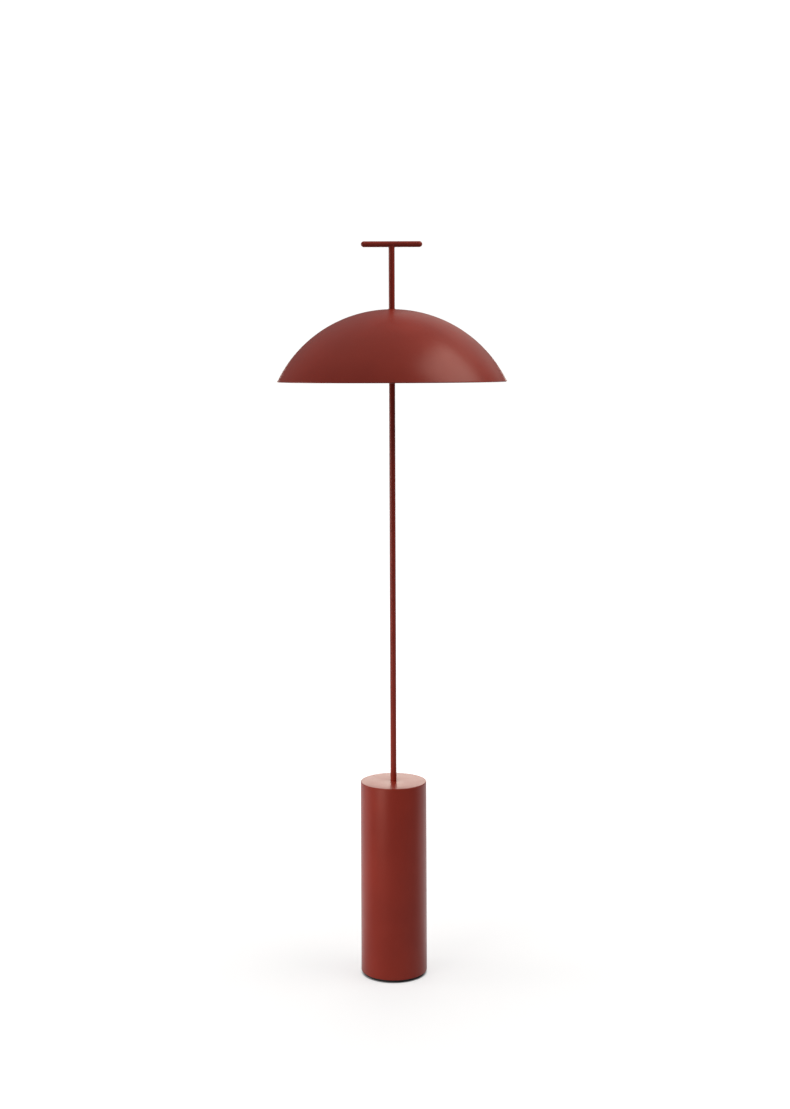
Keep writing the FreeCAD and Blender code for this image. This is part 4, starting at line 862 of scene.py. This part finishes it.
# %% Cut the nut
NUT_CHAMFER, NUT_CHAMFER_HEIGHT = 0.9, 0.5
HEXAGON = 6                               # steps round

nut_low, nut_high = corners("switch_ring_nut")
nut_corner = max(nut_high.x, (nut_high.y - nut_low.y) / 2)
nut_bore, nut_finish = BUSHING_RADIUS + FIT_GAP, finish_of["switch_ring_nut"]
nut = turned("hexagon_nut", rounded([
    (nut_bore, nut_low.z, 0.15), (nut_corner - NUT_CHAMFER, nut_low.z, 0),
    (nut_corner, nut_low.z + NUT_CHAMFER_HEIGHT, 0), (nut_corner, nut_high.z, 0), (nut_bore, nut_high.z, 0),
]), nut_finish, steps=64, place=to_switch)
stock_low, stock_high = nut_low.z - PAST_FACE, nut_high.z + PAST_FACE
stock = [(0, stock_low), (nut_corner, stock_low), (nut_corner, stock_high), (0, stock_high)]
carve(nut, turned("hexagon_bar", stock, nut_finish, HEXAGON, to_switch), "INTERSECT")
fit(nut, "switch_ring_nut")

# %% [markdown]
# ## The push button
# The button slides in the bushing, so it rides a body of its own. Its face is slightly dished for a
# fingertip, and its flange keeps it from falling out.

# %% Turn the button
BUTTON_DISH, BUTTON_DISH_RADIUS = 0.35, 2.3

button = turned("push_button", rounded([
    (0, button_low.z + BUTTON_DISH, 0), (BUTTON_DISH_RADIUS, button_low.z, 1.5),
    (BUTTON_RADIUS, button_low.z, 0.7), (BUTTON_RADIUS, flange_low, 0), (button_high.x, flange_low, 0.2),
    (button_high.x, button_high.z, 0.2), (0, button_high.z, 0),
]), finish_of["dimmer_button"], steps=64, place=to_switch)
fit(button, "dimmer_button", body="button")

# %% [markdown]
# ## The return spring
# Above the button's flange sits the spring that pushes it back out. It is a spiral curve swept with a round
# wire. On the real lamp it is the one piece that changes shape: when the button goes in, the spring shortens
# by as much, towards the cap it leans on. Here it is wound once, at its length at rest.

# %% Build the spring tree
SPRING_STEPS_ROUND = 32

winder, given = new_tree("spring_winder", {
    "Turns": 4.0, "Coil Radius": 0.003, "Coil Height": 0.006, "Wire Radius": 0.0003})
spiral = add(winder, "GeometryNodeCurveSpiral", {
    "Resolution": SPRING_STEPS_ROUND, "Rotations": given["Turns"], "Start Radius": given["Coil Radius"],
    "End Radius": given["Coil Radius"], "Height": given["Coil Height"]})
end_tree(winder, swept_round(winder, spiral[0], given["Wire Radius"]), given)

# %% Wind the spring
SPRING_WIRE, SPRING_TURNS, BUTTON_TRAVEL = 0.6, 4.0, 1.5

spring_low, spring_high = corners("switch_spring")
spring_length = spring_high.z - spring_low.z
spring = mesh_object("button_spring", [])
run_tree(spring, winder, {
    "Turns": SPRING_TURNS, "Coil Radius": (spring_high.x - spring_low.x - SPRING_WIRE) / 2 * MM,
    "Coil Height": (spring_length - SPRING_WIRE) * MM, "Wire Radius": SPRING_WIRE / 2 * MM,
    "Material": finish_of["switch_spring"]})
spring.data.transform(moved(y=-SWITCH_DISTANCE, z=spring_low.z + SPRING_WIRE / 2))
tidy_normals(spring)
fit(spring, "switch_spring")
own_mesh(spring)

# %% [markdown]
# ## Screws
# Two small screws hold the hub cover. Under the base three long ones pull the ballast up into the can. All
# are socket screws: a round head with its lower edge rounded off, and a hexagon socket cut by a drill with
# only six steps round.

# %% Make the screws
SOCKET_DEPTH_SHARE, HEAD_EDGE_SHARE = 0.6, 0.25
BASE_SCREW_COUNT, BASE_SCREW_DISTANCE = 3, 36.0


def socket_screw(name, node, seat, head, shank, key, distance):
    """A screw driven upwards, as high as its solid, its round head below its seat, at a distance along X."""
    low, high = corners(node)
    bottom, tip, head_height = low.z, high.z, seat - low.z
    across_corners = key / math.cos(math.pi / HEXAGON)
    socket_end = bottom + head_height * SOCKET_DEPTH_SHARE
    place = moved(distance)
    screw = turned(name, rounded([
        (0, bottom, 0), (head / 2, bottom, head_height * HEAD_EDGE_SHARE), (head / 2, seat, 0.1),
        (shank / 2, seat, 0), (shank / 2, tip, 0.4), (0, tip, 0),
    ]), finish_of[node], steps=48, place=place)
    drill(screw, across_corners, bottom - PAST_FACE, socket_end, place, HEXAGON)
    return screw


hub_screw = socket_screw("hub_cap_screws", "hub_screws", hub_low.z, head=5.5, shank=3.0, key=2.0,
                         distance=POST_DISTANCE)
fit(repeated(hub_screw, POST_COUNT), "hub_screws")
plate_underside = corners("bottom_plate")[0].z
base_screw = socket_screw("ballast_screws", "base_screws", plate_underside, head=10.5, shank=6.0, key=4.0,
                          distance=BASE_SCREW_DISTANCE)
fit(repeated(base_screw, BASE_SCREW_COUNT, first_degrees=-90), "base_screws")

# %% [markdown]
# ## Foot and cable inlet
# The heads of the long screws sit inside the rubber foot, a plain moulded ring set back from the can's
# wall, which is the dark line under the base in the photograph. At the back a rubber grommet lines the hole
# for the supply cable: it has a neck in the wall and a lip on either side.

# %% Mould the foot ring and the grommet
FOOT_WIDTH = 9.0
GROMMET_BORE, GROMMET_NECK, GROMMET_LIP, GROMMET_SUNK = 3.6, 6.0, 8.0, 0.6

foot_low, foot_high = corners("base_foot_ring")
foot_inside = foot_high.x - FOOT_WIDTH
foot = turned("foot_ring", rounded([
    (foot_inside, foot_low.z, 1.2), (foot_high.x, foot_low.z, 1.2), (foot_high.x, foot_high.z, 0.3),
    (foot_inside, foot_high.z, 0.3),
]), finish_of["base_foot_ring"])
fit(foot, "base_foot_ring")

outer_lip = base_high.x - GROMMET_SUNK
grommet = turned("inlet_grommet", rounded([
    (GROMMET_BORE, inlet_low.y, 0.5), (GROMMET_LIP, inlet_low.y, 0.7), (GROMMET_LIP, base_inside, 0.2),
    (GROMMET_NECK, base_inside, 0), (GROMMET_NECK, outer_lip, 0), (GROMMET_LIP, outer_lip, 0.2),
    (GROMMET_LIP, inlet_high.y, 0.9), (GROMMET_BORE, inlet_high.y, 0.7),
]), finish_of["cable_grommet"], steps=64, place=to_the_back)
fit(grommet, "cable_grommet")

# %% [markdown]
# ## The sky
# The photograph is a catalogue picture: pure white all round, with only a faint shadow where the lamp
# stands, and yet the paint is deep and hardly shines. So the room was dim where the paint could mirror it,
# and the white was added after the shot. The sky here does the same: it is dim near the horizon and
# brighter overhead, while the camera itself sees plain white from any side.

# %% Sky
SKY_LOW, SKY_HIGH, SKY_SHOWN = 0.12, 0.36, 1.05
SKY_LOW_Z, SKY_HIGH_Z = 0.1, 0.75         # how steeply a direction points up, 1 being straight up


def seen_by(tree, kind):
    """1 where a ray of this kind arrives, else 0."""
    return add(tree, "ShaderNodeLightPath")[f"Is {kind} Ray"]


bpy.context.scene.view_settings.view_transform = "Standard"
sky = bpy.data.worlds.new("studio_sky")
sky.use_nodes = True
tree = sky.node_tree
background = tree.nodes["Background"]
background.inputs["Color"].default_value = linear("#FFFFFF")
direction = add(tree, "ShaderNodeSeparateXYZ", {0: add(tree, "ShaderNodeTexCoord")["Generated"]})
lit = spread(tree, direction["Z"], SKY_LOW, SKY_HIGH, SKY_LOW_Z, SKY_HIGH_Z)
shown = add(tree, "ShaderNodeMix", {0: seen_by(tree, "Camera"), 2: lit, 3: SKY_SHOWN})[0]
tree.links.new(shown, background.inputs["Strength"])
bpy.context.scene.world = sky
print(f"sky from {SKY_LOW} at the horizon to {SKY_HIGH} overhead")

# %% [markdown]
# ## The floor
# The floor is an ordinary pale paper, lifted to white for the camera by a glow. The glow is weaker near the
# lamp and stops just outside the base's wall. That paints a soft shade round the lamp and a dark contact line
# under the base, over the real shading there. The paint also mirrors the floor behind the lamp, which is what
# pales the two edges of the base, so there the paper glows for mirrored rays alone: a painted reflection.

# %% Floor
FLOOR_HALF = 9000
PAPER, PAPER_DARKER, PAPER_PALER = "#B1B4B9", "#AFB2B7", "#B3B6BB"
PAPER_ROUGHNESS, PAPER_GLOSS, PAPER_CLOUD_MM = 0.9, 0.1, 400
LIFT_AT_LAMP, LIFT_FAR, LIFT_FAR_RADIUS = 0.6, 1.0, 2000
CONTACT_RADIUS, CONTACT_EDGE = 58, 4
MIRRORED_FRONT, MIRRORED_BACK = 0.12, 0.6
MIRRORED_FROM, MIRRORED_FULL = -100, 150

floor_paper, tree, shader = finish_material("studio_paper", PAPER, PAPER_ROUGHNESS, {
    "Specular IOR Level": PAPER_GLOSS, "Emission Color": linear("#FFFFFF")})
floor_tint = mixed_colours(tree, noise(tree, PAPER_CLOUD_MM), PAPER_DARKER, PAPER_PALER)
tree.links.new(floor_tint, shader.inputs["Base Color"])
spot = add(tree, "ShaderNodeTexCoord")["Object"]
from_lamp = add(tree, "ShaderNodeVectorMath", {0: spot}, operation="LENGTH")["Value"]
behind = add(tree, "ShaderNodeSeparateXYZ", {0: spot})["Y"]
# The glow starts just outside the base's wall: inside that ring the paper is a painted contact shadow over its
# real shading.
past_painted_contact_line = spread(tree, from_lamp, 0, 1, (CONTACT_RADIUS - CONTACT_EDGE) * MM, CONTACT_RADIUS * MM)
# The glow is weaker near the lamp, a soft painted shade round where it stands.
lift = spread(tree, from_lamp, LIFT_AT_LAMP, LIFT_FAR, CONTACT_RADIUS * MM, LIFT_FAR_RADIUS * MM)
whole_lift = maths(tree, "MULTIPLY", lift, past_painted_contact_line)
camera_lift = maths(tree, "MULTIPLY", whole_lift, seen_by(tree, "Camera"))
# The paper behind the lamp glows for mirrored rays alone: a painted reflection on the base's edges.
back_lift = spread(tree, behind, MIRRORED_FRONT, MIRRORED_BACK, MIRRORED_FROM * MM, MIRRORED_FULL * MM)
painted_reflection_glow = maths(tree, "MULTIPLY", back_lift, seen_by(tree, "Glossy"))
both_lifts = maths(tree, "ADD", camera_lift, painted_reflection_glow)
tree.links.new(both_lifts, shader.inputs["Emission Strength"])
floor_corners = [(x * FLOOR_HALF, y * FLOOR_HALF, 0) for x, y in ((-1, -1), (1, -1), (1, 1), (-1, 1))]
floor = mesh_object("studio_floor", floor_corners, [(0, 1, 2, 3)])
floor.data.materials.append(floor_paper)
print(f"floor {2 * FLOOR_HALF * MM:.0f} m wide")

# %% [markdown]
# ## Lights
# The key is a soft box above on the right, and it makes the dome's broad highlight. A wide box overhead
# lights the crown and leaves the stem below the rim dark; it is flagged, so that the dome doesn't mirror
# it. A weak board behind carries the sheen up to the dome's right shoulder. A box level with the dome, far
# out on the left, turns the left flanks of dome and base. The base also has a box of its own, low on the
# left, with a grid that keeps its beam narrow: the camera looks down on the base, so the base mirrors the
# floor and not that box. The flat top of the base mirrors a low glowing panel behind the lamp, which is why
# it is so pale. All of them are a little warm, and none shows itself to the camera.

# %% Hang the lights
WARM_WHITE = "#FFF5E8"


def soft_box(name, place, towards, size, watts, grid_degrees=180, mirrored=True):
    """A light that faces a point, in metres. A grid narrows its beam, and a flag hides its mirror image."""
    data = bpy.data.lights.new(name, "AREA")
    data.shape = "RECTANGLE"
    data.size, data.size_y = size
    data.energy = watts
    data.color = linear(WARM_WHITE)[:3]
    data.spread = math.radians(grid_degrees)
    light = bpy.data.objects.new(name, data)
    bpy.context.scene.collection.objects.link(light)
    light.location = place
    light.rotation_euler = (Vector(towards) - Vector(place)).to_track_quat("-Z", "Y").to_euler()
    light.visible_camera = False
    light.visible_glossy = mirrored
    print(f"{name}: {watts} W")


soft_box("key_box", (1.3, -0.3, 2.25), towards=(0, 0, 1.05), size=(1.4, 1.4), watts=17)
soft_box("rim_board", (0.9, 1.7, 2.1), towards=(0, 0, 1.1), size=(1.8, 1.4), watts=2.5)
soft_box("top_box", (-0.25, 0.1, 2.7), towards=(0, 0, 1.1), size=(2.2, 2.0), watts=12, mirrored=False)
soft_box("side_box", (-2.4, 0.1, 1.0), towards=(0, 0, 0.8), size=(1.0, 1.2), watts=15)
soft_box("base_box", (-0.95, -1.0, 0.5), towards=(0, 0, 0.17), size=(1.0, 0.7), watts=1.25, grid_degrees=60)
soft_box("paper_glow", (0, 2.2, 0.9), towards=(0, 0, 0.7), size=(1.6, 0.7), watts=11)
